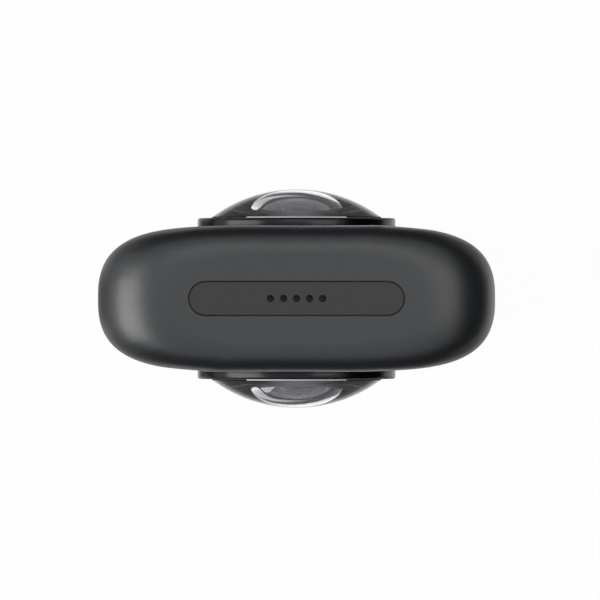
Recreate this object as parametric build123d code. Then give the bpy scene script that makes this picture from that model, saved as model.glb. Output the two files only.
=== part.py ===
from build123d import *
import math
import os

# A slim, upright 360 degree camera with one fisheye lens on each broad face.
# X runs across the width, -Y is the front with the display and buttons, and Z is up.
# The origin is the middle of the flat base, where the tripod thread opens. Lengths are in millimetres.

# Body form: every cross-section is a superellipse, drawn in towards a flat patch at each end
body_width = 48.0
body_depth = 17.6
body_height = 115.0
section_width_power = 4.9
section_depth_power = 2.6
end_power = 2.5
end_flat_width = 28.0
end_flat_depth = 10.8
end_round_width = 10.0
end_round_depth = 3.6
wall = 1.5
rim = 0.7
bond_gap = 0.05
seam_gap = 0.12
overrun = 3.0
side_cut = 6.0
quarter_steps = 8
end_steps = 9
end_step_power = 2.4
middle_level_shares = (0.1, 0.25, 0.5, 0.75, 0.97)

half_width = body_width / 2
half_depth = body_depth / 2
inner_half_depth = half_depth - wall

# Front and rear covers, let into the frame on a ledge
cover_side_margin = 6.0
cover_bottom_margin = 6.0
cover_top_margin = 5.5
cover_corner = 12.0
cover_lip = 1.6
lip_gap = 0.25
hook_heights_share = (0.12, 0.36, 0.60)
hook_length = 4.0
hook_leg = 0.8
hook_reach = 0.9
hook_toe = 0.6
hook_toe_gap = 0.2

cover_half_width = half_width - cover_side_margin
cover_bottom = cover_bottom_margin
cover_top = body_height - cover_top_margin

# Grip grooves on the rear cover
groove_count = 12
groove_pitch = 2.4
groove_width = 0.9
groove_depth = 0.25
groove_length = 27.0
groove_drop = 75.0

# Lenses: radii about the lens axis, and reaches outwards from the middle plane
lens_drop = 20.0
ring_radius = 12.0
ring_proud = 0.96
ring_seat_depth = 0.5
ring_seat_gap = 0.1
ring_edge = 0.2
ring_shelf = 0.6
dome_radius = 10.4
dome_curve = 17.2
dome_inner_curve = 6.2
dome_centre_thickness = 1.7
dome_gap = 0.05
barrel_radius = 9.0
barrel_waist = 7.1
barrel_foot = 1.1
barrel_head = 2.85
barrel_hole_gap = 0.2
sensor_room_radius = 6.5
sensor_room = 1.2
filter_radius = 4.6
filter_thickness = 0.3
filter_pocket = 0.4
aperture_radius = 2.6
aperture_length = 1.8
inner_lens_radius = 3.0
inner_lens_edge = 0.8
inner_lens_front_curve = 5.0
inner_lens_back_curve = 6.0
inner_lens_seat = 0.25
inner_bore_radius = 3.3
inner_bore_length = 1.6
second_lens_radius = 6.0
second_lens_edge = 0.6
second_lens_curve = 8.0
second_lens_back_curve = 3.6
second_lens_thickness = 1.0
retainer_wall = 0.75
retainer_height = 0.9
retainer_gap = 0.1
glass_fit = 0.05

lens_height = body_height - lens_drop
ring_face = half_depth + ring_proud
ring_back = half_depth - ring_seat_depth
dome_back = ring_back + ring_shelf
barrel_hole = barrel_radius + barrel_hole_gap

# Lens bracket, sensor boards and sensors between the lenses
bracket_thickness = 1.0
bracket_side_gap = 2.1
bracket_above_lens = 12.5
bracket_below_lens = 15.0
bracket_leg_drop = 5.2
bracket_leg_inset = 5.0
bracket_leg_width = 4.0
bracket_corner = 2.0
bracket_half_width = half_width - bracket_side_gap
bracket_leg_half_width = half_width - bracket_leg_inset
sensor_board_side = 17.0
sensor_board_tail = 2.0
sensor_board_thickness = 0.6
sensor_width = 9.6
sensor_height = 8.4
sensor_thickness = 1.0
cover_post_radius = 1.3
cover_post_circle = 10.75
cover_post_gap = 0.08
barrel_screw_circle = 8.1

barrel_base = bracket_thickness / 2 + sensor_board_thickness
barrel_top = dome_back - dome_gap

# Screws: head radius, head height, shank radius
cover_screw = (1.0, 0.45, 0.5)
barrel_screw = (0.8, 0.6, 0.4)
chassis_screw = (1.3, 0.8, 0.6)
base_screw = (1.7, 0.9, 0.8)
screw_hole_gap = 0.03
screw_slot_width = 0.3
screw_slot_depth = 0.25
screw_bite = 2.6
barrel_screw_bite = 0.9

# Frame bosses that take the bracket and the battery bay
boss_radius = 1.6
boss_length = 3.6
boss_inset = 1.9
bracket_boss_offset = (10.8, -12.0)
bay_boss_height = 9.2

# Top cap with its row of sound holes, and the microphones under it
cap_length = 25.75
cap_width = 3.9
cap_thickness = 0.9
cap_gap = 0.19
cap_hole_count = 5
cap_hole_radius = 0.44
cap_hole_pitch = 1.57
mesh_length = 10.0
mesh_width = 2.0
mesh_thickness = 0.15
sound_slot_length = 8.4
sound_slot_width = 1.4
mic_board_length = 18.0
mic_board_width = 6.4
mic_board_thickness = 0.8
mic_board_drop = 0.9
mic_stand_radius = 1.1
mic_stand_offset = 7.4
mic_length = 3.5
mic_width = 2.65
mic_height = 1.0
mic_offset = 2 * cap_hole_pitch
pinhole_radius = 0.17
pinhole_drop = 1.5
pinhole_places = (-0.25, 0.5)

# Base plate, tripod thread and their screws
base_length = 30.0
base_width = 9.4
base_thickness = 1.0
base_gap = 0.1
thread_radius = 2.6
thread_length = 6.2
insert_radius = 4.0
insert_height = 7.0
insert_flange_length = 27.0
insert_flange_width = 9.0
insert_flange_thickness = 1.4
insert_gap = 0.05
base_screw_offset = 10.5
thread_mouth = 0.5

# Main board, with everything on its front face
board_thickness = 0.8
board_side_gap = 4.6
board_bottom = 9.6
board_clearance = 0.6
board_corner = 2.0
board_behind_cover = 2.4
board_post_radius = 1.4
board_post_side_inset = 2.4
board_post_inset = 2.7
board_half_width = half_width - board_side_gap
board_post_offset = board_half_width - board_post_side_inset
chip_size = 12.0
chip_thickness = 1.0
memory_width = 9.0
memory_height = 11.0
memory_thickness = 0.9
chip_offset = 8.0
chip_height = 21.0
shield_side = 14.0
shield_height = 1.5
shield_wall = 0.2
connector_length = 7.0
connector_width = 2.2
connector_height = 0.8
connector_offset = 14.0

board_top = lens_height - bracket_below_lens - board_clearance
board_front = -(inner_half_depth - board_behind_cover)
board_back = board_front + board_thickness

# Display
window_radius = 7.5
window_thickness = 0.8
window_sink = 0.05
window_gap = 0.1
window_ledge = 0.9
display_drop = 46.0
panel_radius = 7.7
panel_thickness = 1.5
panel_gap = 0.05
foam_radius = 6.0
foam_gap = 0.05

display_height = body_height - display_drop

# Shutter and power buttons, each on a tactile switch
shutter_radius = 7.0
shutter_drop = 65.0
shutter_dish_depth = 0.35
shutter_ring_width = 0.8
shutter_ring_depth = 0.7
power_radius = 3.5
power_drop = 81.0
power_dish_depth = 0.2
button_proud = 0.2
button_gap = 0.1
button_flange_reach = 0.8
button_flange_thickness = 0.6
button_flange_gap = 0.1
button_travel = 0.35
plunger_radius = 0.9
plunger_gap = 0.08
plunger_reach = 0.45
switch_side = 4.4
switch_height = 0.9
button_wall = 0.9

shutter_height = body_height - shutter_drop
power_height = body_height - power_drop

# Status light between the display and the shutter button
light_radius = 0.6
light_flange_radius = 1.1
light_flange_thickness = 0.5
light_drop = 55.4
light_gap = 0.05
led_side = 1.0
led_height = 0.5

light_height = body_height - light_drop

# Memory card, in its slot behind the door
card_length = 15.0
card_width = 11.0
card_thickness = 0.75
card_drop = 34.0
card_push = 0.7
card_end_inset = 4.6
slot_wall = 0.2
slot_thickness = 1.5
slot_room = 0.15
slot_mouth = 1.2

card_bottom = lens_height - card_drop
card_end = half_width - card_end_inset

# Battery, its bay and its contacts
battery_length = 33.7
battery_thickness = 7.0
battery_card_gap = 2.5
battery_centre = 0.35
battery_corner = 1.0
battery_end_inset = 4.8
battery_bottom = 14.5
battery_gap = 0.25
bay_wall = 0.65
bay_mouth = 0.3
bay_foot_height = 7.3
bay_foot_thickness = 1.0
contact_count = 3
contact_pitch = 5.0
contact_length = 0.2
contact_width = 2.0

battery_end = half_width - battery_end_inset
battery_start = battery_end - battery_length
battery_top = card_bottom - battery_card_gap

# Battery door in the right side, with its hinge along the rear edge and its latch
door_width = 10.0
door_bottom = 12.5
door_top_margin = 2.5
door_gap = 0.2
door_lip = 0.9
door_wall = 1.3
hinge_inset = 1.5
hinge_offset = 4.4
hinge_radius = 0.7
hinge_relief = 1.0
hinge_end_relief = 0.4
hinge_pin_radius = 0.3
hinge_run_gap = 0.05
hinge_press_gap = 0.02
hinge_lug_length = 3.0
hinge_lug_reach = 1.7
hinge_lug_shares = (0.18, 0.50, 0.82)
knuckle_length = 4.0
knuckle_gap = 0.2
hinge_skin = 0.03
latch_length = 6.0
latch_width = 3.2
latch_drop = 12.5
latch_travel = 1.5
latch_slot_gap = 0.2
latch_proud = 0.2
latch_plate_thickness = 0.6
latch_plate_gap = 0.15
latch_plate_length = 11.0
latch_plate_front = 3.7
latch_plate_back = 2.6
latch_hook_length = 2.0
latch_hook_pitch = 8.0
latch_hook_reach = 0.5
latch_hook_thickness = 0.6
latch_hook_gap = 0.15
latch_leg = 0.55
latch_notch_gap = 0.25
latch_rib_count = 3
latch_rib_pitch = 1.2
latch_rib_width = 0.4
latch_rib_depth = 0.15
pad_width = 4.6
pad_margin = 6.0
pad_gap = 0.35

door_height = card_bottom + card_width + door_top_margin - door_bottom
door_middle = door_bottom + door_height / 2
latch_height = door_bottom + door_height - latch_drop
opening_half_width = door_width / 2 - door_lip

# Charging socket in the left side
socket_height = 7.5
socket_thickness = 2.65
socket_length = 5.2
socket_wall = 0.3
socket_corner = 0.9
socket_wall_gap = 0.2
socket_level = 40.0
tongue_height = 5.0
tongue_thickness = 0.6
tongue_length = 3.6
window_height = 8.4
window_width = 3.5
window_corner = 1.4
window_bevel = 0.35
window_bevel_depth = 0.3
socket_board_height = 18.0
socket_board_length = 5.4
socket_board_thickness = 0.8

# Speaker behind the rear cover
speaker_width = 11.0
speaker_height = 15.0
speaker_thickness = 2.0
speaker_level = 25.0
speaker_gap = 0.1
speaker_hole_radius = 0.45
speaker_hole_pitch = 1.9
speaker_hole_columns = 5
speaker_hole_rows = 2

# Thin parts: heat sheet, antenna and the ribbons from the sensor boards
heat_sheet_thickness = 0.2
heat_sheet_width = 30.0
heat_sheet_gap = 0.03
antenna_width = 22.0
antenna_height = 5.0
antenna_thickness = 0.2
antenna_drop = 16.6
antenna_gap = 0.03
ribbon_width = 6.0
ribbon_offset = 5.5
ribbon_thickness = 0.15
ribbon_overlap = 1.2
ribbon_bend = 0.6
ribbon_gap = 0.05


def surface_x(inset, y):
    """Half width of the body, moved in by an inset, at a depth y on its straight part."""
    share = abs(y) / (half_depth - inset)
    return (half_width - inset) * (1 - share**section_depth_power) ** (1 / section_width_power)


def surface_y(inset, x):
    """Half depth of the body, moved in by an inset, at a width x on its straight part."""
    share = abs(x) / (half_width - inset)
    return (half_depth - inset) * (1 - share**section_width_power) ** (1 / section_depth_power)


def section_wire(wide, deep, z):
    """One superellipse outline at height z, as four splines that meet square to the axes."""

    def point(angle):
        c, s = math.cos(angle), math.sin(angle)
        x = math.copysign(wide * abs(c) ** (2 / section_width_power), c)
        y = math.copysign(deep * abs(s) ** (2 / section_depth_power), s)
        return Vector(x, y, z)

    corners = [Vector(wide, 0, z), Vector(0, deep, z), Vector(-wide, 0, z), Vector(0, -deep, z)]
    headings = [Vector(0, 1, 0), Vector(-1, 0, 0), Vector(0, -1, 0), Vector(1, 0, 0)]
    edges = []
    for quarter in range(4):
        following = (quarter + 1) % 4
        turn = math.pi / 2
        between = [point(turn * (quarter + step / quarter_steps)) for step in range(1, quarter_steps)]
        points = [corners[quarter], *between, corners[following]]
        edges.append(Edge.make_spline(points, tangents=[headings[quarter], headings[following]]))
    return Wire(edges)


def drawn_in(depth, zone, flat, full):
    """Half size at a depth below the end: flat at the end itself, full once past the rounding."""
    if depth >= zone:
        return full
    share = 1 - depth / zone
    return flat + (full - flat) * (1 - share**end_power) ** (1 / end_power)


made_forms = {}


def form(inset):
    """The whole body as a solid, moved in by an inset on every side."""
    if inset in made_forms:
        return made_forms[inset]
    wide = half_width - inset
    deep = half_depth - inset
    zone_wide = end_round_width - inset
    zone_deep = end_round_depth - inset
    straight = body_height / 2 - inset - zone_wide
    depths = [zone_wide * (step / end_steps) ** end_step_power for step in range(end_steps + 1)]
    depths += [zone_wide + straight * share for share in middle_level_shares]
    sizes = [
        (
            depth,
            drawn_in(depth, zone_wide, end_flat_width / 2, wide),
            drawn_in(depth, zone_deep, end_flat_depth / 2, deep),
        )
        for depth in depths
    ]
    lower = [section_wire(w, d, inset + depth) for depth, w, d in sizes]
    upper = [section_wire(w, d, body_height - inset - depth) for depth, w, d in reversed(sizes)]
    made_forms[inset] = Solid.make_loft(lower + upper)
    return made_forms[inset]


def block(x_from, x_to, y_from, y_to, z_from, z_to):
    """A box between two corners."""
    middle = Pos((x_from + x_to) / 2, (y_from + y_to) / 2, (z_from + z_to) / 2)
    return middle * Box(abs(x_to - x_from), abs(y_to - y_from), abs(z_to - z_from))


def rod_x(radius, x_from, x_to, y, z):
    return Pos((x_from + x_to) / 2, y, z) * Rot(0, 90, 0) * Cylinder(radius, abs(x_to - x_from))


def rod_y(radius, y_from, y_to, x, z):
    return Pos(x, (y_from + y_to) / 2, z) * Rot(90, 0, 0) * Cylinder(radius, abs(y_to - y_from))


def rod_z(radius, z_from, z_to, x, y):
    return Pos(x, y, (z_from + z_to) / 2) * Cylinder(radius, abs(z_to - z_from))


def turned(shape):
    """The same shape on the rear of the camera."""
    return Rot(0, 0, 180) * shape


def group(shapes):
    """Several separate solids as one named piece."""
    return Compound([solid for shape in shapes for solid in shape.solids()])


def stadium_z(length, width, z_from, z_to):
    """A long round-ended slab lying across the body."""
    return extrude(Plane.XY.offset(z_from) * SlotOverall(length, width), z_to - z_from)


def cover_prism(grow):
    """The cover's outline, swept from the middle plane out through the front."""
    size = (2 * (cover_half_width + grow), cover_top - cover_bottom + 2 * grow)
    outline = RectangleRounded(*size, cover_corner + grow)
    return extrude(Plane.XZ * Pos(0, (cover_top + cover_bottom) / 2) * outline, half_depth + overrun)


def side_slot(height, width, middle, x_from):
    """An upright round-ended slot, swept out through the right side."""
    outline = Pos(0, middle) * SlotOverall(height, width, rotation=90)
    return extrude(Plane.YZ.offset(x_from) * outline, half_width + overrun - x_from)


def door_prism(grow):
    return side_slot(door_height + 2 * grow, door_width + 2 * grow, door_middle, opening_floor)


def lens_profile(points):
    """Turns a closed outline of (radius, reach) points about the front lens axis."""
    plane = Plane(origin=(0, 0, lens_height), x_dir=(1, 0, 0), z_dir=(0, 0, -1))
    outline = plane * make_face(Polyline(*points, close=True))
    return revolve(outline, Axis((0, 0, lens_height), (0, -1, 0)), 360)


def lens_tube(outer, inner, reach_from, reach_to):
    """A plain ring about the front lens axis."""
    return lens_profile(
        [(inner, reach_from), (outer, reach_from), (outer, reach_to), (inner, reach_to)]
    )


def lens_ball(radius, apex, hollow_side):
    """A ball on the front lens axis whose surface passes through the apex reach."""
    centre = apex - radius if hollow_side == "behind" else apex + radius
    return Pos(0, -centre, lens_height) * Sphere(radius)


def sag(curve, radius):
    """How far a spherical surface falls from its apex to a radius."""
    return curve - math.sqrt(curve**2 - radius**2)


def screw(sizes, length):
    """A screw pointing down -Z with the underside of its head at the origin, and a cross in its head."""
    head_radius, head_height, shank_radius = sizes
    solid = rod_z(head_radius, 0, head_height, 0, 0) + rod_z(shank_radius, -length, 0, 0, 0)
    for angle in (0, 90):
        arm = block(
            -head_radius * screw_cross_share,
            head_radius * screw_cross_share,
            -screw_slot_width / 2,
            screw_slot_width / 2,
            head_height - screw_slot_depth,
            head_height + overrun,
        )
        solid -= Rot(0, 0, angle) * arm
    return solid


def screw_from_front(sizes, length, x, y, z):
    """A screw driven towards +Y, with the underside of its head at y."""
    return Pos(x, y, z) * Rot(90, 0, 0) * screw(sizes, length)


def around_lens(circle, angles):
    """Places (x, z) on a circle about the lens axis."""
    return [
        (
            circle * math.cos(math.radians(angle)),
            lens_height + circle * math.sin(math.radians(angle)),
        )
        for angle in angles
    ]


screw_cross_share = 0.65
opening_floor = half_width - side_cut
cover_post_places = around_lens(cover_post_circle, (0, 90, 180, 270))
barrel_screw_places = around_lens(barrel_screw_circle, (45, 225))
boss_x = half_width - wall - boss_inset
hinge_x = half_width - hinge_inset
hinge_z_from = door_middle + (hinge_lug_shares[0] - 0.5) * door_height - hinge_lug_length / 2
hinge_z_to = door_middle + (hinge_lug_shares[-1] - 0.5) * door_height + hinge_lug_length / 2
bracket_boss_places = [
    (side * boss_x, lens_height + offset) for side in (-1, 1) for offset in bracket_boss_offset
]
bay_boss_places = [(side * boss_x, bay_boss_height) for side in (-1, 1)]
upper_board_posts = [
    (side * board_post_offset, board_top - board_post_inset) for side in (-1, 1)
]
lower_board_posts = [
    (side * board_post_offset, board_bottom + board_post_inset) for side in (-1, 1)
]
chassis_hole = chassis_screw[2] + screw_hole_gap


def cover_hooks():
    """Snap hooks down both edges of the front cover, which catch behind the frame's ledge."""
    edge = cover_half_width - cover_lip - lip_gap
    toe_end = edge + hook_reach
    toe_face = surface_y(wall, toe_end) - hook_toe_gap
    root = surface_y(wall, edge - hook_leg)
    hooks = []
    for share in hook_heights_share:
        middle = cover_bottom + share * (cover_top - cover_bottom)
        z_from, z_to = middle - hook_length / 2, middle + hook_length / 2
        for side in (-1, 1):
            leg = block(
                side * (edge - hook_leg), side * edge, -root - bond_gap, -toe_face + hook_toe, z_from, z_to
            )
            toe = block(
                side * (edge - hook_leg), side * toe_end, -toe_face, -toe_face + hook_toe, z_from, z_to
            )
            hooks += [leg, toe]
    return hooks


def plain_cover():
    """A cover with its thin rim, its full middle, its hooks, and the seat and hole for a lens."""
    edge = (form(0) & cover_prism(0)) - form(rim)
    middle = (form(0) & cover_prism(-cover_lip - lip_gap)) - form(wall)
    head_radius, head_height, shank_radius = cover_screw
    seat = ring_radius + ring_seat_gap
    lens_opening = lens_profile(
        [
            (0, 0), (barrel_hole, 0), (barrel_hole, ring_back), (seat, ring_back),
            (seat, half_depth + overrun), (0, half_depth + overrun),
        ]
    )
    cuts = []
    for x, z in cover_post_places:
        cuts.append(rod_y(head_radius + screw_hole_gap, -half_depth, head_height - ring_back, x, z))
        cuts.append(rod_y(shank_radius + screw_hole_gap, -half_depth, 0, x, z))
    return (edge + [middle, *cover_hooks()]) - lens_opening - cuts


def front_cover(blank):
    """The front cover, with openings for the display, the buttons and the status light."""
    outside = -half_depth - overrun
    window_floor = -half_depth + window_sink + window_thickness + bond_gap
    ring_seat = shutter_radius + button_gap + shutter_ring_width
    return blank - [
        rod_y(window_radius + window_gap, outside, window_floor, 0, display_height),
        rod_y(window_radius - window_ledge, outside, 0, 0, display_height),
        rod_y(shutter_radius + button_gap, outside, 0, 0, shutter_height),
        rod_y(ring_seat, outside, -half_depth + shutter_ring_depth, 0, shutter_height),
        rod_y(power_radius + button_gap, outside, 0, 0, power_height),
        rod_y(light_radius + light_gap, outside, 0, 0, light_height),
    ]


def rear_cover(blank):
    """The rear cover, with its shallow grip grooves and its speaker holes."""
    cuts = []
    for index in range(groove_count):
        level = body_height - groove_drop + index * groove_pitch
        outline = Pos(0, level) * SlotOverall(groove_length, groove_width)
        cuts.append(extrude(Plane.XZ.offset(half_depth - groove_depth) * outline, overrun))
    for column in range(speaker_hole_columns):
        for row in range(speaker_hole_rows):
            x = (column - (speaker_hole_columns - 1) / 2) * speaker_hole_pitch
            z = speaker_level + (row - (speaker_hole_rows - 1) / 2) * speaker_hole_pitch
            cuts.append(rod_y(speaker_hole_radius, -half_depth - overrun, 0, x, z))
    return turned(blank - cuts)


def frame_boss(x, z):
    """A boss behind the middle plane, joined to the side wall by a rib."""
    start = bracket_thickness / 2 + bond_gap
    side = math.copysign(1, x)
    boss = rod_y(boss_radius, start, start + boss_length, x, z)
    boss += block(
        x, side * (half_width - wall / 2), start, start + boss_length, z - boss_radius, z + boss_radius
    )
    boss = boss & form(wall / 2)
    return boss - rod_y(chassis_hole, start - overrun, start + boss_length - bond_gap, x, z)


def hinge_lug_levels():
    return [door_middle + (share - 0.5) * door_height for share in hinge_lug_shares]


def frame_lugs():
    """The frame's three hinge lugs, which reach in from the rear side of the door opening."""
    lugs = []
    for level in hinge_lug_levels():
        z_from, z_to = level - hinge_lug_length / 2, level + hinge_lug_length / 2
        lug = rod_z(hinge_radius, z_from, z_to, hinge_x, hinge_offset)
        lug += block(
            hinge_x - hinge_radius,
            hinge_x + hinge_radius,
            hinge_offset,
            hinge_offset + hinge_lug_reach,
            z_from,
            z_to,
        )
        lug = lug & form(hinge_skin)
        hole = hinge_pin_radius + hinge_press_gap
        lugs.append(lug - rod_z(hole, z_from - overrun, z_to + overrun, hinge_x, hinge_offset))
    return lugs


def latch_hook_levels(travel):
    middle = latch_height + travel
    return [middle - latch_hook_pitch / 2, middle + latch_hook_pitch / 2]


def door_cuts():
    """The door's seat and opening, the relief for its hinge, and the notches that its latch passes."""
    edge = door_width / 2 + door_gap
    before_edge = block(
        opening_floor, half_width + overrun, -edge, edge,
        door_bottom - overrun, door_bottom + door_height + overrun,
    )
    seat = door_prism(door_gap) + (Pos(0, hinge_end_relief, 0) * door_prism(door_gap) & before_edge)
    cuts = [seat - form(rim + bond_gap), door_prism(-door_lip)]
    relief_from = door_bottom + door_width / 2 - hinge_lug_length
    relief_to = door_bottom + door_height - door_width / 2 + hinge_lug_length
    relief = rod_z(hinge_relief, relief_from, relief_to, hinge_x, hinge_offset)
    relief += block(
        hinge_x - 2 * hinge_relief, hinge_x,
        hinge_offset - hinge_relief / 2, hinge_offset + hinge_relief,
        relief_from, relief_to,
    )
    cuts.append(relief & before_edge)
    for level in latch_hook_levels(0):
        half = latch_hook_length / 2 + latch_notch_gap
        cuts.append(
            block(
                opening_floor, hinge_x + hinge_relief,
                -opening_half_width - 2 * latch_hook_reach, 0,
                level - half, level + half,
            )
        )
    return cuts


def socket_window():
    """The charging socket's window in the left side, with a bevel round its mouth."""
    cuts = []
    for grow, floor in ((0, half_width - side_cut), (window_bevel, half_width - window_bevel_depth)):
        outline = RectangleRounded(window_width + 2 * grow, window_height + 2 * grow, window_corner + grow)
        opening = Plane.YZ.offset(floor) * Pos(0, socket_level) * outline
        cuts.append(turned(extrude(opening, half_width + overrun - floor)))
    return cuts


def end_cuts():
    """The cap's seat with its sound slot and pinholes, and the base plate's seat with its holes."""
    cap_floor = body_height - cap_thickness - mesh_thickness
    cap_seat = (cap_length + 2 * cap_gap, cap_width + 2 * cap_gap)
    base_seat = (base_length + 2 * base_gap, base_width + 2 * base_gap)
    cuts = [
        stadium_z(*cap_seat, cap_floor, body_height + overrun),
        stadium_z(sound_slot_length, sound_slot_width, body_height - 2 * wall, body_height),
        stadium_z(*base_seat, -overrun, base_thickness + bond_gap),
        rod_z(insert_radius + insert_gap, 0, wall + overrun, 0, 0),
    ]
    for x in pinhole_places:
        level = body_height - pinhole_drop
        cuts.append(rod_y(pinhole_radius, end_flat_depth / 2, half_depth + overrun, x, level))
    for side in (-1, 1):
        cuts.append(rod_z(base_screw[2] + screw_hole_gap, 0, wall + overrun, side * base_screw_offset, 0))
    return cuts


def main_frame():
    """The frame: the sides, top and bottom of the body in one piece, with ledges for covers and door."""
    seat = cover_prism(seam_gap) - form(rim + bond_gap)
    hollow = cover_prism(-cover_lip)
    cuts = [form(wall), seat, turned(seat), hollow, turned(hollow)]
    stand_top = body_height - wall + bond_gap
    added = [
        rod_z(mic_stand_radius, stand_top - bond_gap - mic_board_drop, stand_top, side * mic_stand_offset, 0)
        for side in (-1, 1)
    ]
    added += [frame_boss(x, z) for x, z in bracket_boss_places + bay_boss_places]
    frame = form(0) - (cuts + end_cuts() + socket_window() + door_cuts())
    return frame + (added + frame_lugs())


def top_cap():
    cap = stadium_z(cap_length, cap_width, body_height - cap_thickness, body_height)
    for index in range(cap_hole_count):
        x = (index - (cap_hole_count - 1) / 2) * cap_hole_pitch
        cap -= rod_z(cap_hole_radius, body_height - cap_thickness, body_height, x, 0)
    return cap


def mic_mesh():
    top = body_height - cap_thickness
    return stadium_z(mesh_length, mesh_width, top - mesh_thickness, top)


def mic_board():
    """The microphone board under the top wall, with a sound hole over each microphone."""
    top = body_height - wall - mic_board_drop
    board = block(
        -mic_board_length / 2, mic_board_length / 2, -mic_board_width / 2, mic_board_width / 2,
        top - mic_board_thickness, top,
    )
    for side in (-1, 1):
        board -= rod_z(cap_hole_radius, top - mic_board_thickness, top, side * mic_offset, 0)
    return board


def microphones():
    top = body_height - wall - mic_board_drop - mic_board_thickness
    return group(
        block(
            side * mic_offset - mic_length / 2, side * mic_offset + mic_length / 2,
            -mic_width / 2, mic_width / 2, top - mic_height, top,
        )
        for side in (-1, 1)
    )


def lens_ring():
    """The black ring round a lens, seated in the cover, whose shelf carries the dome lens."""
    bore = dome_radius + glass_fit
    return lens_profile(
        [
            (barrel_hole, ring_back),
            (ring_radius, ring_back),
            (ring_radius, ring_face - ring_edge),
            (ring_radius - ring_edge, ring_face),
            (bore, ring_face),
            (bore, dome_back),
            (barrel_hole, dome_back),
        ]
    )


def dome_lens():
    """The big outer lens: a round front, a flat back and a deep hollow."""
    apex = ring_face + sag(dome_curve, dome_radius)
    blank = lens_tube(dome_radius, 0, dome_back, apex + dome_gap)
    blank &= lens_ball(dome_curve, apex, "behind")
    return blank - lens_ball(dome_inner_curve, apex - dome_centre_thickness, "behind")


def second_lens():
    """The second lens, which stands up inside the hollow of the dome."""
    seat = barrel_top - barrel_head + glass_fit
    edge = seat + second_lens_edge
    apex = edge + sag(second_lens_curve, second_lens_radius)
    blank = lens_tube(second_lens_radius, 0, seat, apex + glass_fit)
    blank &= lens_ball(second_lens_curve, apex, "behind")
    return blank - lens_ball(second_lens_back_curve, apex - second_lens_thickness, "behind")


def inner_lens():
    """The small lens deep in the barrel, round on both sides."""
    back = barrel_base + sensor_room + filter_pocket + aperture_length + inner_lens_seat
    front = back + inner_lens_edge
    front_apex = front + sag(inner_lens_front_curve, inner_lens_radius)
    back_apex = back - sag(inner_lens_back_curve, inner_lens_radius)
    blank = lens_tube(inner_lens_radius, 0, back_apex, front_apex)
    blank &= lens_ball(inner_lens_front_curve, front_apex, "behind")
    return blank & lens_ball(inner_lens_back_curve, back_apex, "ahead")


def lens_barrel():
    """The stepped tube that holds the two inner lenses and the infrared filter over the sensor."""
    room_top = barrel_base + sensor_room
    pocket_top = room_top + filter_pocket
    aperture_top = pocket_top + aperture_length
    seat = barrel_top - barrel_head
    barrel = lens_profile(
        [
            (sensor_room_radius, barrel_base),
            (barrel_radius, barrel_base),
            (barrel_radius, barrel_base + barrel_foot),
            (barrel_waist, barrel_base + barrel_foot),
            (barrel_waist, seat - glass_fit),
            (barrel_radius, seat - glass_fit),
            (barrel_radius, barrel_top),
            (second_lens_radius + glass_fit, barrel_top),
            (second_lens_radius + glass_fit, seat),
            (inner_bore_radius, seat),
            (inner_bore_radius, aperture_top),
            (aperture_radius, aperture_top),
            (aperture_radius, pocket_top),
            (filter_radius + glass_fit, pocket_top),
            (filter_radius + glass_fit, room_top),
            (sensor_room_radius, room_top),
        ]
    )
    for x, z in barrel_screw_places:
        barrel -= rod_y(barrel_screw[2] + screw_hole_gap, -barrel_top, 0, x, z) & lens_tube(
            barrel_radius, 0, barrel_base, barrel_base + barrel_foot
        )
    return barrel


def lens_retainer():
    """The ring that keeps the second lens in its seat."""
    outer = second_lens_radius
    inner = outer - retainer_wall
    seat = barrel_top - barrel_head + glass_fit + second_lens_edge
    apex = seat + sag(second_lens_curve, second_lens_radius)
    base = apex - sag(second_lens_curve, inner) + retainer_gap
    return lens_tube(outer, inner, base, base + retainer_height)


def infrared_filter():
    top = barrel_base + sensor_room + filter_pocket
    return lens_tube(filter_radius, 0, top - filter_thickness, top)


def sensor_board():
    front = -(bracket_thickness / 2 + sensor_board_thickness)
    half = sensor_board_side / 2
    low = lens_height - half - sensor_board_tail
    board = block(-half, half, front, -bracket_thickness / 2, lens_height - half, lens_height + half)
    tail_from, tail_to = ribbon_offset - ribbon_width / 2, ribbon_offset + ribbon_width / 2
    board += block(tail_from, tail_to, front, -bracket_thickness / 2, low, lens_height)
    for x, z in barrel_screw_places:
        board -= rod_y(barrel_screw[2] + screw_hole_gap, front, 0, x, z)
    return board


def image_sensor():
    back = -barrel_base
    return block(
        -sensor_width / 2, sensor_width / 2, back - sensor_thickness, back,
        lens_height - sensor_height / 2, lens_height + sensor_height / 2,
    )


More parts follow.
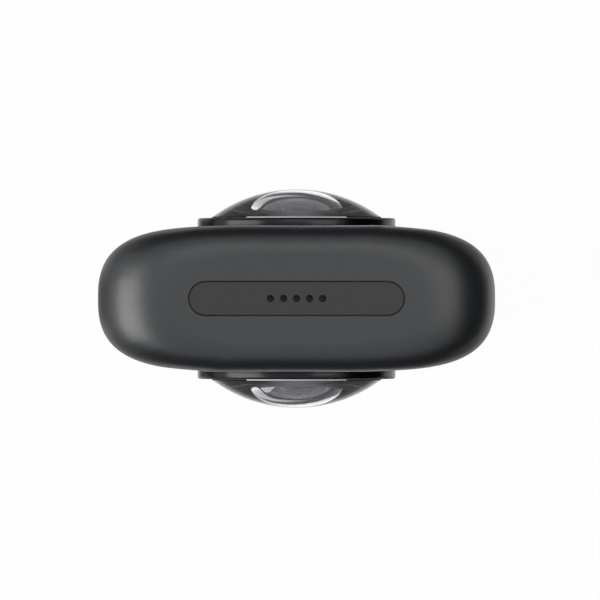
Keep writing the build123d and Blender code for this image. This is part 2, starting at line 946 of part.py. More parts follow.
def lens_bracket():
    """The cast plate between the lenses, with posts that the covers and the main board screw to."""
    half = bracket_thickness / 2
    low = lens_height - bracket_below_lens
    high = lens_height + bracket_above_lens
    outline = RectangleRounded(2 * bracket_half_width, high - low, bracket_corner)
    plate = extrude(Plane.XZ.offset(-half) * Pos(0, (low + high) / 2) * outline, bracket_thickness)
    for side in (-1, 1):
        leg_to = side * bracket_leg_half_width
        leg_from = side * (bracket_leg_half_width - bracket_leg_width)
        plate += block(leg_from, leg_to, -half, half, low - bracket_leg_drop, low + bracket_corner)
    posts_end = surface_y(wall, cover_post_circle) - cover_post_gap
    for x, z in cover_post_places:
        plate += rod_y(cover_post_radius, -posts_end, posts_end, x, z)
    for x, z in cover_post_places:
        plate -= rod_y(cover_screw[2] + screw_hole_gap, -half_depth, -posts_end + screw_bite, x, z)
        plate -= rod_y(cover_screw[2] + screw_hole_gap, posts_end - screw_bite, half_depth, x, z)
    for x, z in upper_board_posts:
        plate += rod_y(board_post_radius, board_back, half, x, z)
        plate -= rod_y(chassis_hole, board_back - overrun, half + overrun, x, z)
    for x, z in bracket_boss_places:
        plate -= rod_y(chassis_hole, -half - overrun, half + overrun, x, z)
    for x, z in barrel_screw_places:
        for side in (-1, 1):
            hole = barrel_screw[2] + screw_hole_gap
            plate -= rod_y(hole, -half - overrun, half + overrun, side * x, z)
    return plate


def barrel_screws():
    head = -(barrel_base + barrel_foot)
    length = -head - bracket_thickness / 2 + barrel_screw_bite
    made = [screw_from_front(barrel_screw, length, x, head, z) for x, z in barrel_screw_places]
    return group(made + [turned(one) for one in made])


def cover_screws():
    head = -(ring_back - cover_screw[1])
    made = [
        screw_from_front(cover_screw, screw_bite, x, head, z) for x, z in cover_post_places
    ]
    return group(made + [turned(one) for one in made])


def chassis_screws():
    """The screws of the bracket and the bay into the frame, and of the main board into both."""
    plate_face = -bracket_thickness / 2
    made = [
        screw_from_front(chassis_screw, bracket_thickness + screw_bite, x, plate_face, z)
        for x, z in bracket_boss_places + bay_boss_places
    ]
    made += [
        screw_from_front(chassis_screw, board_thickness + screw_bite, x, board_front, z)
        for x, z in upper_board_posts + lower_board_posts
    ]
    return group(made)


def main_board():
    outline = RectangleRounded(2 * board_half_width, board_top - board_bottom, board_corner)
    middle = (board_top + board_bottom) / 2
    board = extrude(Plane.XZ.offset(-board_back) * Pos(0, middle) * outline, board_thickness)
    for x, z in upper_board_posts + lower_board_posts:
        board -= rod_y(chassis_hole, board_front, board_back, x, z)
    return board


def board_chips():
    """The processor on the left and the memory on the right, low on the board's front."""
    processor = block(
        -chip_offset - chip_size / 2, -chip_offset + chip_size / 2,
        board_front - chip_thickness, board_front,
        chip_height - chip_size / 2, chip_height + chip_size / 2,
    )
    memory = block(
        chip_offset - memory_width / 2, chip_offset + memory_width / 2,
        board_front - memory_thickness, board_front,
        chip_height - memory_height / 2, chip_height + memory_height / 2,
    )
    return group([processor, memory])


def chip_shield():
    """The thin metal can over the processor."""
    half = shield_side / 2
    inner = half - shield_wall
    can = block(
        -chip_offset - half, -chip_offset + half, board_front - shield_height, board_front,
        chip_height - half, chip_height + half,
    )
    return can - block(
        -chip_offset - inner, -chip_offset + inner, board_front - shield_height + shield_wall, board_front,
        chip_height - inner, chip_height + inner,
    )


def board_connectors():
    """Plugs at the board's edges for the display, the socket board and the speaker."""
    places = [(-connector_offset, light_height), (connector_offset, light_height)]
    return group(
        block(
            x - connector_width / 2, x + connector_width / 2,
            board_front - connector_height, board_front,
            z - connector_length / 2, z + connector_length / 2,
        )
        for x, z in places
    )


def display_window():
    face = -half_depth + window_sink
    return rod_y(window_radius, face, face + window_thickness, 0, display_height)


def display_panel():
    front = -inner_half_depth + panel_gap
    return rod_y(panel_radius, front, front + panel_thickness, 0, display_height)


def display_foam():
    front = -inner_half_depth + panel_gap + panel_thickness + foam_gap
    return rod_y(foam_radius, front, board_front - foam_gap, 0, display_height)


def button(radius, height, dish_depth):
    """A round button: a dished cap, a flange that keeps it behind the cover, and a hollow back."""
    face = -half_depth - button_proud
    flange_front = -inner_half_depth + button_flange_gap
    flange_back = flange_front + button_flange_thickness
    cap = rod_y(radius, face, flange_back, 0, height)
    cap += rod_y(radius + button_flange_reach, flange_front, flange_back, 0, height)
    dish_radius = (radius**2 + dish_depth**2) / (2 * dish_depth)
    cap -= Pos(0, face + dish_depth - dish_radius, height) * Sphere(dish_radius)
    hollow = rod_y(radius - button_wall, face + 2 * button_wall, flange_back, 0, height)
    hollow -= rod_y(plunger_radius + button_wall, face, flange_back, 0, height)
    return cap - hollow


def plunger(height):
    """The switch's plunger, which stands against the button's back and slides into the switch."""
    front = -inner_half_depth + button_flange_gap + button_flange_thickness
    return rod_y(plunger_radius, front, board_front - plunger_reach, 0, height)


def tact_switch(height):
    half = switch_side / 2
    body = block(-half, half, board_front - switch_height, board_front, height - half, height + half)
    return body - rod_y(plunger_radius + plunger_gap, board_front - switch_height, board_front, 0, height)


def shutter_ring():
    """The trim ring let into the cover round the shutter button."""
    seat = shutter_radius + button_gap + shutter_ring_width - bond_gap
    back = -half_depth + shutter_ring_depth - bond_gap
    ring = rod_y(seat, -half_depth - button_proud / 2, back, 0, shutter_height)
    return ring - rod_y(shutter_radius + button_gap, -half_depth - overrun, back, 0, shutter_height)


def status_light_pipe():
    flange_front = -inner_half_depth + bond_gap
    flange_back = flange_front + light_flange_thickness
    pipe = rod_y(light_radius, -half_depth, board_front - led_height - light_gap, 0, light_height)
    return pipe + rod_y(light_flange_radius, flange_front, flange_back, 0, light_height)


def status_led():
    half = led_side / 2
    z_from, z_to = light_height - half, light_height + half
    return block(-half, half, board_front - led_height, board_front, z_from, z_to)


def battery():
    cell = block(
        battery_start, battery_end,
        battery_centre - battery_thickness / 2, battery_centre + battery_thickness / 2,
        battery_bottom, battery_top,
    )
    return fillet(cell.edges().filter_by(Axis.X), battery_corner)


def battery_bay():
    """An open box for the battery with its mouth to the door, on a foot that screws to the frame."""
    y_from = battery_centre - battery_thickness / 2 - battery_gap
    y_to = battery_centre + battery_thickness / 2 + battery_gap
    z_from, z_to = battery_bottom - battery_gap, battery_top + battery_gap
    x_from = battery_start - contact_length - battery_gap
    bay = block(
        x_from - bay_wall, battery_end + bay_mouth,
        max(y_from - bay_wall, board_back + bond_gap), y_to + bay_wall, z_from - bay_wall, z_to + bay_wall,
    )
    bay -= block(x_from, battery_end + overrun, y_from, y_to, z_from, z_to)
    half = bay_foot_thickness / 2
    foot_top = z_from - bay_wall / 2
    bay += block(-bracket_half_width, bracket_half_width, -half, half, bay_foot_height, foot_top)
    for x, z in lower_board_posts:
        bay += rod_y(board_post_radius, board_back, half, x, z)
        bay -= rod_y(chassis_hole, board_back - overrun, half + overrun, x, z)
    for x, z in bay_boss_places:
        bay -= rod_y(chassis_hole, -half - overrun, half + overrun, x, z)
    return bay


def battery_contacts():
    """Spring contacts on the bay's end wall, against the battery's inner end."""
    middle = (battery_bottom + battery_top) / 2
    x_from = battery_start - contact_length - battery_gap
    made = []
    for index in range(contact_count):
        z = middle + (index - (contact_count - 1) / 2) * contact_pitch
        made.append(
            block(
                x_from, battery_start - bond_gap,
                battery_centre - contact_width / 2, battery_centre + contact_width / 2,
                z - contact_width / 2, z + contact_width / 2,
            )
        )
    return group(made)


def battery_door():
    """The door: a thin rim on the frame's ledge, a thicker middle, hinge knuckles and the latch slot."""
    edge = (form(0) & door_prism(0)) - form(rim)
    middle = (form(0) & door_prism(-door_lip - lip_gap)) - form(door_wall)
    slot_height = latch_length + latch_travel + 2 * latch_slot_gap
    slot_width = latch_width + 2 * latch_slot_gap
    cuts = [side_slot(slot_height, slot_width, latch_height + latch_travel / 2, opening_floor)]
    knuckles = []
    for level in hinge_lug_levels():
        half = hinge_lug_length / 2
        for side in knuckle_sides(level):
            near = level + side * (half + knuckle_gap)
            far = near + side * knuckle_length
            z_from, z_to = min(near, far), max(near, far)
            knuckle = rod_z(hinge_radius, z_from, z_to, hinge_x, hinge_offset)
            knuckle += block(
                hinge_x - hinge_radius, hinge_x,
                hinge_offset - door_lip - lip_gap, hinge_offset, z_from, z_to,
            )
            knuckles.append(knuckle & form(hinge_skin))
        cuts.append(
            block(
                opening_floor, half_width + overrun,
                hinge_offset - hinge_radius - door_gap, half_depth,
                level - half - knuckle_gap, level + half + knuckle_gap,
            )
        )
    hole = hinge_pin_radius + hinge_run_gap
    cuts.append(rod_z(hole, door_bottom, door_bottom + door_height, hinge_x, hinge_offset))
    return (edge + [middle, *knuckles]) - cuts


def knuckle_sides(level):
    """The door's knuckles stand inside the outer lugs and on both sides of the middle one."""
    levels = hinge_lug_levels()
    if level == levels[0]:
        return (1,)
    if level == levels[-1]:
        return (-1,)
    return (-1, 1)


def hinge_pin():
    return rod_z(hinge_pin_radius, hinge_z_from, hinge_z_to, hinge_x, hinge_offset)


def latch_plate_face():
    return surface_x(door_wall, latch_plate_front) - latch_plate_gap


def latch_knob():
    """The latch's thumb piece in the door's slot, with cross grooves for grip."""
    outline = side_slot(latch_length, latch_width, latch_height, opening_floor)
    knob = Pos(latch_proud, 0, 0) * (form(0) & outline)
    knob -= block(0, latch_plate_face(), -half_depth, half_depth, 0, body_height)
    for index in range(latch_rib_count):
        level = latch_height + (index - (latch_rib_count - 1) / 2) * latch_rib_pitch
        knob -= block(
            half_width + latch_proud - latch_rib_depth, half_width + overrun,
            -latch_width, latch_width, level - latch_rib_width / 2, level + latch_rib_width / 2,
        )
    return knob


def latch_bolt():
    """The plate behind the door's skin, whose two hooks slide up behind the frame's ledge."""
    face = latch_plate_face()
    half = latch_plate_length / 2
    bolt = block(
        face - latch_plate_thickness, face, -latch_plate_front, latch_plate_back,
        latch_height - half, latch_height + half,
    )
    tip = opening_half_width + latch_hook_reach
    hook_face = surface_x(wall, tip + latch_hook_gap) - latch_hook_gap
    for level in latch_hook_levels(0):
        z_from, z_to = level - latch_hook_length / 2, level + latch_hook_length / 2
        bolt += block(
            hook_face - latch_hook_thickness, face,
            -latch_plate_front, -latch_plate_front + latch_leg, z_from, z_to,
        )
        bolt += block(
            hook_face - latch_hook_thickness, hook_face,
            -tip, -latch_plate_front + latch_leg, z_from, z_to,
        )
    return bolt


def door_pad():
    """The foam strip inside the door that steadies the battery."""
    strip = block(
        battery_end + pad_gap, half_width, -pad_width / 2, pad_width / 2,
        battery_bottom + pad_margin, battery_top - pad_margin,
    )
    return strip & form(door_wall + bond_gap)


def card_slot():
    """The metal cage of the card slot, open towards the door, on the back of the main board."""
    y_from = board_back + bond_gap
    y_to = y_from + slot_thickness
    z_from, z_to = card_bottom - slot_room, card_bottom + card_width + slot_room
    x_from = card_end - card_length - card_push - slot_room
    x_to = card_end - slot_mouth
    cage = block(x_from - slot_wall, x_to, y_from, y_to, z_from - slot_wall, z_to + slot_wall)
    return cage - block(x_from, x_to, y_from + slot_wall, y_to - slot_wall, z_from, z_to)


def memory_card():
    middle = board_back + bond_gap + slot_thickness / 2
    return block(
        card_end - card_length, card_end,
        middle - card_thickness / 2, middle + card_thickness / 2, card_bottom, card_bottom + card_width,
    )


def socket_mouth():
    return -(surface_x(wall, socket_thickness / 2) - socket_wall_gap)


def socket_tube(grow, x_from, x_to):
    """A flat round-cornered tube section of the charging socket."""
    outline = RectangleRounded(
        socket_thickness + 2 * grow, socket_height + 2 * grow, socket_corner + grow
    )
    return extrude(Plane.YZ.offset(x_from) * Pos(0, socket_level) * outline, x_to - x_from)


def charging_socket():
    """The socket's metal shell, and the insulated tongue inside it."""
    x_from = socket_mouth()
    x_to = x_from + socket_length
    shell = socket_tube(0, x_from, x_to) - socket_tube(-socket_wall, x_from, x_to - socket_wall)
    tongue = block(
        x_to - socket_wall - tongue_length, x_to - socket_wall,
        -tongue_thickness / 2, tongue_thickness / 2,
        socket_level - tongue_height / 2, socket_level + tongue_height / 2,
    )
    return group([shell, tongue])


def socket_board():
    x_from = socket_mouth() + socket_wall
    y_from = socket_thickness / 2
    return block(
        x_from, x_from + socket_board_length, y_from, y_from + socket_board_thickness,
        socket_level - socket_board_height / 2, socket_level + socket_board_height / 2,
    )


def speaker():
    back = inner_half_depth - speaker_gap
    return block(
        -speaker_width / 2, speaker_width / 2, back - speaker_thickness, back,
        speaker_level - speaker_height / 2, speaker_level + speaker_height / 2,
    )


def heat_sheet():
    """A thin copper sheet on the back of the battery bay."""
    y_from = battery_centre + battery_thickness / 2 + battery_gap + bay_wall + heat_sheet_gap
    x_middle = (battery_start + battery_end) / 2
    return block(
        x_middle - heat_sheet_width / 2, x_middle + heat_sheet_width / 2,
        y_from, y_from + heat_sheet_thickness, battery_bottom, battery_top,
    )


def wifi_antenna():
    """A thin antenna strip inside the rear cover, under the lens."""
    y_to = surface_y(wall, antenna_width / 2) - antenna_gap
    return block(
        -antenna_width / 2, antenna_width / 2, y_to - antenna_thickness, y_to,
        lens_height - antenna_drop - antenna_height / 2, lens_height - antenna_drop + antenna_height / 2,
    )


def sensor_ribbon(path):
    """A flat ribbon along a path of (reach, level) points, to the right of the lens axis."""
    far_side = [(reach + ribbon_thickness, level) for reach, level in reversed(path)]
    outline = make_face(Polyline(*[(-reach, level) for reach, level in path + far_side], close=True))
    return extrude(Plane.YZ.offset(ribbon_offset - ribbon_width / 2) * outline, ribbon_width)


def sensor_ribbons():
    """Ribbons from the foot of each sensor board to the back of the main board."""
    board_reach = bracket_thickness / 2 + sensor_board_thickness + ribbon_gap
    board_foot = lens_height - sensor_board_side / 2 - sensor_board_tail
    plate_foot = lens_height - bracket_below_lens
    high = board_foot + ribbon_overlap
    low = board_top - 2 * ribbon_overlap
    front_end = -board_back - ribbon_gap - ribbon_thickness
    front = [
        (board_reach, high), (board_reach, board_foot - ribbon_bend),
        (front_end, board_top), (front_end, low),
    ]
    rear_end = board_back + ribbon_gap
    rear = [
        (board_reach, high), (board_reach, plate_foot - ribbon_bend),
        (rear_end, low + ribbon_overlap), (rear_end, low),
    ]
    return group([sensor_ribbon(front), turned(sensor_ribbon(rear))])


def base_plate():
    plate = stadium_z(base_length, base_width, 0, base_thickness)
    plate -= rod_z(insert_radius + insert_gap, 0, base_thickness, 0, 0)
    head_radius, head_height, shank_radius = base_screw
    for side in (-1, 1):
        x = side * base_screw_offset
        plate -= rod_z(head_radius + screw_hole_gap, 0, head_height, x, 0)
        plate -= rod_z(shank_radius + screw_hole_gap, 0, base_thickness, x, 0)
    return plate


def tripod_insert():
    """The metal insert: a threaded boss through the base, and a flange inside that spreads the load."""
    insert = stadium_z(
        insert_flange_length, insert_flange_width, wall, wall + insert_flange_thickness
    )
    insert += rod_z(insert_radius, 0, insert_height, 0, 0)
    insert -= rod_z(thread_radius, 0, thread_length, 0, 0)
    for side in (-1, 1):
        insert -= rod_z(
            base_screw[2] + screw_hole_gap, 0, wall + insert_flange_thickness, side * base_screw_offset, 0
        )
    return insert


def base_screws():
    """Two screws from below, through the plate and the frame's floor into the insert's flange."""
    length = wall + insert_flange_thickness - base_screw[1]
    return group(
        Pos(side * base_screw_offset, 0, base_screw[1]) * Rot(180, 0, 0) * screw(base_screw, length)
        for side in (-1, 1)
    )


cover_blank = plain_cover()
parts = {
    "main_frame": main_frame(),
    "front_cover": front_cover(cover_blank),
    "rear_cover": rear_cover(cover_blank),
    "top_cap": top_cap(),
    "mic_mesh": mic_mesh(),
    "mic_board": mic_board(),
    "microphones": microphones(),
    "front_lens_ring": lens_ring(),
    "rear_lens_ring": turned(lens_ring()),
    "front_dome_lens": dome_lens(),
    "rear_dome_lens": turned(dome_lens()),
    "front_second_lens": second_lens(),
    "rear_second_lens": turned(second_lens()),
    "inner_lenses": group([inner_lens(), turned(inner_lens())]),
    "front_lens_barrel": lens_barrel(),
    "rear_lens_barrel": turned(lens_barrel()),
    "lens_retainers": group([lens_retainer(), turned(lens_retainer())]),
    "infrared_filters": group([infrared_filter(), turned(infrared_filter())]),
    "image_sensors": group([image_sensor(), turned(image_sensor())]),
    "front_sensor_board": sensor_board(),
    "rear_sensor_board": turned(sensor_board()),
    "lens_bracket": lens_bracket(),
    "barrel_screws": barrel_screws(),
    "cover_screws": cover_screws(),
    "chassis_screws": chassis_screws(),
    "main_board": main_board(),
    "board_chips": board_chips(),
    "chip_shield": chip_shield(),
    "board_connectors": board_connectors(),
    "display_window": display_window(),
    "display_panel": display_panel(),
    "display_foam": display_foam(),
    "shutter_button": button(shutter_radius, shutter_height, shutter_dish_depth),
    "shutter_ring": shutter_ring(),
    "shutter_plunger": plunger(shutter_height),
    "shutter_switch": tact_switch(shutter_height),
    "power_button": button(power_radius, power_height, power_dish_depth),
    "power_plunger": plunger(power_height),
    "power_switch": tact_switch(power_height),
    "status_light_pipe": status_light_pipe(),
    "status_led": status_led(),
    "charging_socket": charging_socket(),
    "socket_board": socket_board(),
    "battery": battery(),
    "battery_bay": battery_bay(),
    "battery_contacts": battery_contacts(),
    "battery_door": battery_door(),
    "hinge_pin": hinge_pin(),
    "latch_knob": latch_knob(),
    "latch_bolt": latch_bolt(),
    "door_pad": door_pad(),
    "card_slot": card_slot(),
    "memory_card": memory_card(),
    "speaker": speaker(),
    "heat_sheet": heat_sheet(),
    "wifi_antenna": wifi_antenna(),
    "sensor_ribbons": sensor_ribbons(),
    "base_plate": base_plate(),
    "tripod_insert": tripod_insert(),
    "base_screws": base_screws(),
}

os.makedirs("parts", exist_ok=True)
for name, shape in parts.items():
    export_step(shape, f"parts/{name}.step")
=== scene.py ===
# A slim 360 degree camera, looked at from straight above its top end, in a plain white studio.
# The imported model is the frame. Lenses, rings, marks and the tripod thread are made here on top of it.
import math

import bmesh
import bpy
import numpy as np
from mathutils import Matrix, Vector


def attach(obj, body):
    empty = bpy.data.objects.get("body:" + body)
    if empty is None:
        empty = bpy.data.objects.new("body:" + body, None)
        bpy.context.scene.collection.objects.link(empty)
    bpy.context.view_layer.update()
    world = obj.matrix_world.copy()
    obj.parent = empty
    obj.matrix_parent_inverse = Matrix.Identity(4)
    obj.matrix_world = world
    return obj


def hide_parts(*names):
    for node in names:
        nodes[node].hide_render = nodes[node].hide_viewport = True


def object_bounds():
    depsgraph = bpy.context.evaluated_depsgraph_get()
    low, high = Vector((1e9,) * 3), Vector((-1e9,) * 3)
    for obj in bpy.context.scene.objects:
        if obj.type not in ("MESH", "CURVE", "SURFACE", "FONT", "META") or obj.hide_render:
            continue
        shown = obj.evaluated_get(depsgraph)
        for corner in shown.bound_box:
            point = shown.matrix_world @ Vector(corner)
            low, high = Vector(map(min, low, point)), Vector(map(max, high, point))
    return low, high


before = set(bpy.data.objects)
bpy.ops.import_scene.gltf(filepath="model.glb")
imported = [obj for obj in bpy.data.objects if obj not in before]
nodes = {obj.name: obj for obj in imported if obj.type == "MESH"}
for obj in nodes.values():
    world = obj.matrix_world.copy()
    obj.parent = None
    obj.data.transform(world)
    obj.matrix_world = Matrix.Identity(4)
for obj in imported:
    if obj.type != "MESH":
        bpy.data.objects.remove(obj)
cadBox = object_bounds()
print("frame loaded:", len(nodes), "nodes")

mm = 0.001

# The lens stack: radii about the axis, and reaches outwards from the middle plane, all in mm. Steps and
# rows count the points round the axis and along a surface, and a crease is a sharp edge's angle in degrees.
lens = {
    "height": 95.0,
    "ringRadius": 12.0, "ringBore": 10.45, "ringHole": 9.2, "ringBack": 8.3, "ringFace": 9.76,
    "ringShelf": 8.9, "ringEdge": 0.35,
    "domeRadius": 10.4, "domeBack": 8.9, "domeCurve": 17.2, "domeThickness": 1.45,
    "domeBevel": 0.22, "highlightBevel": 6.0, "hollowCurve": 7.0, "polishedFrom": 6.97, "polishedTo": 7.12,
    "polishedBeside": 5.0, "seatTo": 7.9, "seatAcross": 6.4, "paintedReflectionFrom": 0.6, "paintedReflectionTo": 5.2,
    "secondRadius": 6.0, "secondBack": 6.05, "secondEdge": 6.65, "secondCurve": 8.0,
    "secondThickness": 1.0, "secondHollow": 3.6,
    "innerRadius": 3.0, "innerBack": 4.75, "innerEdge": 5.55, "innerFrontCurve": 5.0,
    "innerBackCurve": 6.0,
    "steps": 160, "domeRows": 64, "secondRows": 40, "hollowRows": 40, "innerRows": 24,
    "near": 0.01, "crease": 20.0,
}


def hexColor(text):
    # An sRGB hex value as linear red, green, blue and full alpha
    parts = [int(text[i:i + 2], 16) / 255 for i in (1, 3, 5)]
    return [p / 12.92 if p <= 0.04045 else ((p + 0.055) / 1.055) ** 2.4 for p in parts] + [1.0]


def addNode(material, kind, inputs=None, links=None, **settings):
    # One node with its settings, its socket values and the sockets that feed it
    node = material.node_tree.nodes.new(kind)
    for key, value in settings.items():
        setattr(node, key, value)
    for key, value in (inputs or {}).items():
        node.inputs[key].default_value = value
    for key, source in (links or {}).items():
        material.node_tree.links.new(source, node.inputs[key])
    return node


def newMaterial(name, color, roughness, metallic=0.0, **sockets):
    # A material with its shader and its Object coordinates
    material = bpy.data.materials.new(name)
    material.use_nodes = True
    material.node_tree.nodes.clear()
    inputs = {"Base Color": hexColor(color), "Roughness": roughness, "Metallic": metallic}
    inputs.update({key.replace("_", " "): value for key, value in sockets.items()})
    shader = addNode(material, "ShaderNodeBsdfPrincipled", inputs)
    addNode(material, "ShaderNodeOutputMaterial", links={"Surface": shader.outputs["BSDF"]})
    place = addNode(material, "ShaderNodeTexCoord").outputs["Object"]
    return material, shader, place


def grain(material, shader, place, size, height, low, high, stretch=(1, 1, 1), detail=4.0):
    # Noise of a real grain size in mm, as bump of a real height in mm and as roughness between two values.
    # A stretch below 1 draws the grain out along that axis.
    spread = addNode(material, "ShaderNodeMapping", {"Scale": stretch}, {"Vector": place})
    noise = addNode(
        material, "ShaderNodeTexNoise", {"Scale": 1 / (size * mm), "Detail": detail},
        {"Vector": spread.outputs["Vector"]},
    )
    bump = addNode(
        material, "ShaderNodeBump", {"Strength": 1.0, "Distance": height * mm},
        {"Height": noise.outputs["Fac"]},
    )
    rough = addNode(
        material, "ShaderNodeMapRange", {"To Min": low, "To Max": high}, {"Value": noise.outputs["Fac"]}
    )
    material.node_tree.links.new(bump.outputs["Normal"], shader.inputs["Normal"])
    material.node_tree.links.new(rough.outputs["Result"], shader.inputs["Roughness"])
    return noise


def tint(material, shader, factor, dark, light, low=0.35, high=0.65):
    # Colour that varies between two hex values with a pattern
    ramp = addNode(material, "ShaderNodeValToRGB", links={"Fac": factor})
    ramp.color_ramp.elements[0].position, ramp.color_ramp.elements[1].position = low, high
    ramp.color_ramp.elements[0].color = hexColor(dark)
    ramp.color_ramp.elements[1].color = hexColor(light)
    material.node_tree.links.new(ramp.outputs["Color"], shader.inputs["Base Color"])


def meshPiece(name, points, faces, material, bodyName, slotName=None, stands=(), sharp=40.0):
    # Points in mm become a smooth-shaded piece that rides on a body and stands for CAD nodes
    mesh = bpy.data.meshes.new(name)
    mesh.from_pydata((np.asarray(points) * mm).tolist(), [], [list(map(int, f)) for f in faces])
    mesh.validate()
    work = bmesh.new()
    work.from_mesh(mesh)
    bmesh.ops.recalc_face_normals(work, faces=work.faces)
    work.to_mesh(mesh)
    work.free()
    mesh.update()
    mesh.shade_smooth()
    mesh.set_sharp_from_angle(angle=math.radians(sharp))
    piece = bpy.data.objects.new(name, mesh)
    bpy.context.scene.collection.objects.link(piece)
    for one in material if isinstance(material, (list, tuple)) else [material]:
        mesh.materials.append(one)
    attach(piece, bodyName)
    if stands:
        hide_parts(*stands)
    return piece


def gridFaces(rows, columns, closed=False, start=0):
    # Quads of a grid whose columns always wrap, and whose rows wrap when closed
    r = np.arange(rows if closed else rows - 1)[:, None]
    c = np.arange(columns)[None, :]
    a, b = r * columns, (r + 1) % rows * columns
    n = (c + 1) % columns
    return np.stack([a + c, b + c, b + n, a + n], -1).reshape(-1, 4) + start


def poledGrid(points, start=0):
    # A grid of rows and wrapping columns whose first and last rows are single points: one fan closes each end
    rows, columns = points.shape[:2]
    middle = points[1:-1].reshape(-1, 3)
    ends = np.array([points[0, 0], points[-1, 0]])
    c = np.arange(columns)
    n = (c + 1) % columns
    first, last = start + len(middle), start + len(middle) + 1
    tail = start + (rows - 3) * columns
    faces = gridFaces(rows - 2, columns, False, start).tolist()
    faces += np.stack([np.full(columns, first), start + c, start + n], -1).tolist()
    faces += np.stack([np.full(columns, last), tail + n, tail + c], -1).tolist()
    return np.concatenate([middle, ends]), faces


def roundOff(outline, radius, steps=5, most=0.45):
    # Each corner of an outline becomes a small parabola, from a point one radius before it to one after it,
    # or at most a share of the side away. At t the curve is (1 - t) squared of the first point, 2 t (1 - t)
    # of the corner and t squared of the last.
    outline = np.asarray(outline, float)
    toBefore, toAfter = np.roll(outline, 1, 0) - outline, np.roll(outline, -1, 0) - outline
    lengthBefore, lengthAfter = np.linalg.norm(toBefore, axis=1), np.linalg.norm(toAfter, axis=1)
    reach = np.minimum(radius, most * np.minimum(lengthBefore, lengthAfter))[:, None]
    p = (outline + toBefore / lengthBefore[:, None] * reach)[:, None]
    q = (outline + toAfter / lengthAfter[:, None] * reach)[:, None]
    t = np.linspace(0, 1, steps)[None, :, None]
    return ((1 - t) ** 2 * p + 2 * t * (1 - t) * outline[:, None] + t ** 2 * q).reshape(-1, 2)


def turnedAbout(outline, side):
    # An outline of (radius, reach) turned about the lens axis: x is the radius times the angle's cosine,
    # z the lens height plus the radius times its sine, and y the reach
    outline = np.asarray(outline, float)
    angle = np.linspace(0, 2 * np.pi, lens["steps"], endpoint=False)
    radius, reach = outline[:, :1], outline[:, 1:]
    x, z = radius * np.cos(angle), lens["height"] + radius * np.sin(angle)
    return np.stack([side * x, -side * reach * np.ones_like(x), z], -1)


def ballReach(curve, apex, radii):
    # The reach of a ball-shaped surface at some radii: its apex less its fall, and the fall is the ball's
    # radius less the root of that radius squared less the distance from the axis squared
    return apex - (curve - np.sqrt(curve ** 2 - np.asarray(radii) ** 2))


def sag(curve, radius):
    # The same fall by itself, from the apex to one radius
    return curve - math.sqrt(curve ** 2 - radius ** 2)


# The shells' colours, the cap's duller gloss, and the mould's grain in mm with the roughness it gives
shell = {
    "frame": "#1B1D1F", "cover": "#1B1D1F", "door": "#1B1D1F", "cap": "#121314", "capGloss": 0.42,
    "grain": 0.16, "relief": 0.003, "low": 0.34, "high": 0.44,
}


def texturedShell(name, color, gloss=0.5):
    # Glass-filled polycarbonate from a spark-eroded mould: very dark grey, with a soft broad sheen.
    # The real grain is about 0.05 mm, finer than a pixel, so it is drawn coarser and kept shallow.
    material, shader, place = newMaterial(name, color, 0.4, IOR=1.5, Specular_IOR_Level=gloss)
    grain(material, shader, place, shell["grain"], shell["relief"], shell["low"], shell["high"])
    return material


def makeRingBlack():
    # Black polyamide ring, satin from the mould, so its edge catches a thin line of light
    material, shader, place = newMaterial("satinBlackPolyamide", "#080809", 0.3, Specular_IOR_Level=0.26)
    grain(material, shader, place, size=0.3, height=0.002, low=0.2, high=0.27)
    return material


def makeDomeGlass():
    # Optical glass, ground and polished to a clear ball surface, faintly lilac from its coating
    return newMaterial("polishedOpticalGlassDome", "#F9F8FC", 0.0, IOR=1.62, Transmission_Weight=1.0)[0]


def makeLensGlass():
    # Inner elements of dense flint glass, with a faint green coating. The grey stands for the light that
    # the many coated faces behind each other swallow, so that the middle of the lens stays deep.
    return newMaterial(
        "coatedFlintGlass", "#9C9F9E", 0.0, IOR=1.7, Specular_IOR_Level=0.2, Transmission_Weight=1.0)[0]


def makeGroundGlassAndHighlight():
    # The narrow bevel round a lens as the grinding wheel cut it: a pale frosted line, partly its own colour
    # and partly a painted highlight
    material, shader, place = newMaterial("groundGlassBevelHighlight", "#C4C1C9", 0.5, IOR=1.6)
    grain(material, shader, place, size=0.08, height=0.002, low=0.4, high=0.6)
    return material


def makeSeatPaintedReflection():
    # The inner part of the dome's back is fine-ground. Its grey at the top and bottom, fading at the sides to
    # as black as the lacquer, is painted reflection that stands in for the lens's inner reflections.
    material, shader, place = newMaterial("fineGroundSeatPaintedReflection", "#818085", 0.5, IOR=1.6)
    grain(material, shader, place, size=0.1, height=0.001, low=0.42, high=0.56)
    split = addNode(material, "ShaderNodeSeparateXYZ", links={"Vector": place})
    aside = addNode(material, "ShaderNodeMath", links={0: split.outputs["X"]}, operation="ABSOLUTE")
    paintedReflectionFade = addNode(material, "ShaderNodeMapRange",
                    {"From Min": lens["paintedReflectionFrom"] * mm, "From Max": lens["paintedReflectionTo"] * mm},
                    {"Value": aside.outputs["Value"]}, interpolation_type="SMOOTHSTEP")
    tint(material, shader, paintedReflectionFade.outputs["Result"], "#818085", "#08080A", 0.0, 1.0)
    return material


def makeEdgeInk():
    # Matt black lacquer painted on the ground edge and back of a lens, which drinks stray light
    material, shader, place = newMaterial("lensEdgeLacquer", "#040405", 0.7, Specular_IOR_Level=0.25)
    grain(material, shader, place, size=0.2, height=0.002, low=0.6, high=0.8)
    return material


def makeBarrelBlack():
    # Carbon-filled polycarbonate, sandblasted so that it stays black inside the lens
    material, shader, place = newMaterial("carbonFilledPolycarbonate", "#111113", 0.55)
    grain(material, shader, place, size=0.15, height=0.003, low=0.48, high=0.62)
    return material


def makeMoulded(name, color, low, high, size=0.2, height=0.002, **sockets):
    # A plain moulded plastic, whose faint grain and sheen come from the polish of its mould
    material, shader, place = newMaterial(name, color, (low + high) / 2, **sockets)
    grain(material, shader, place, size, height, low, high)
    return material


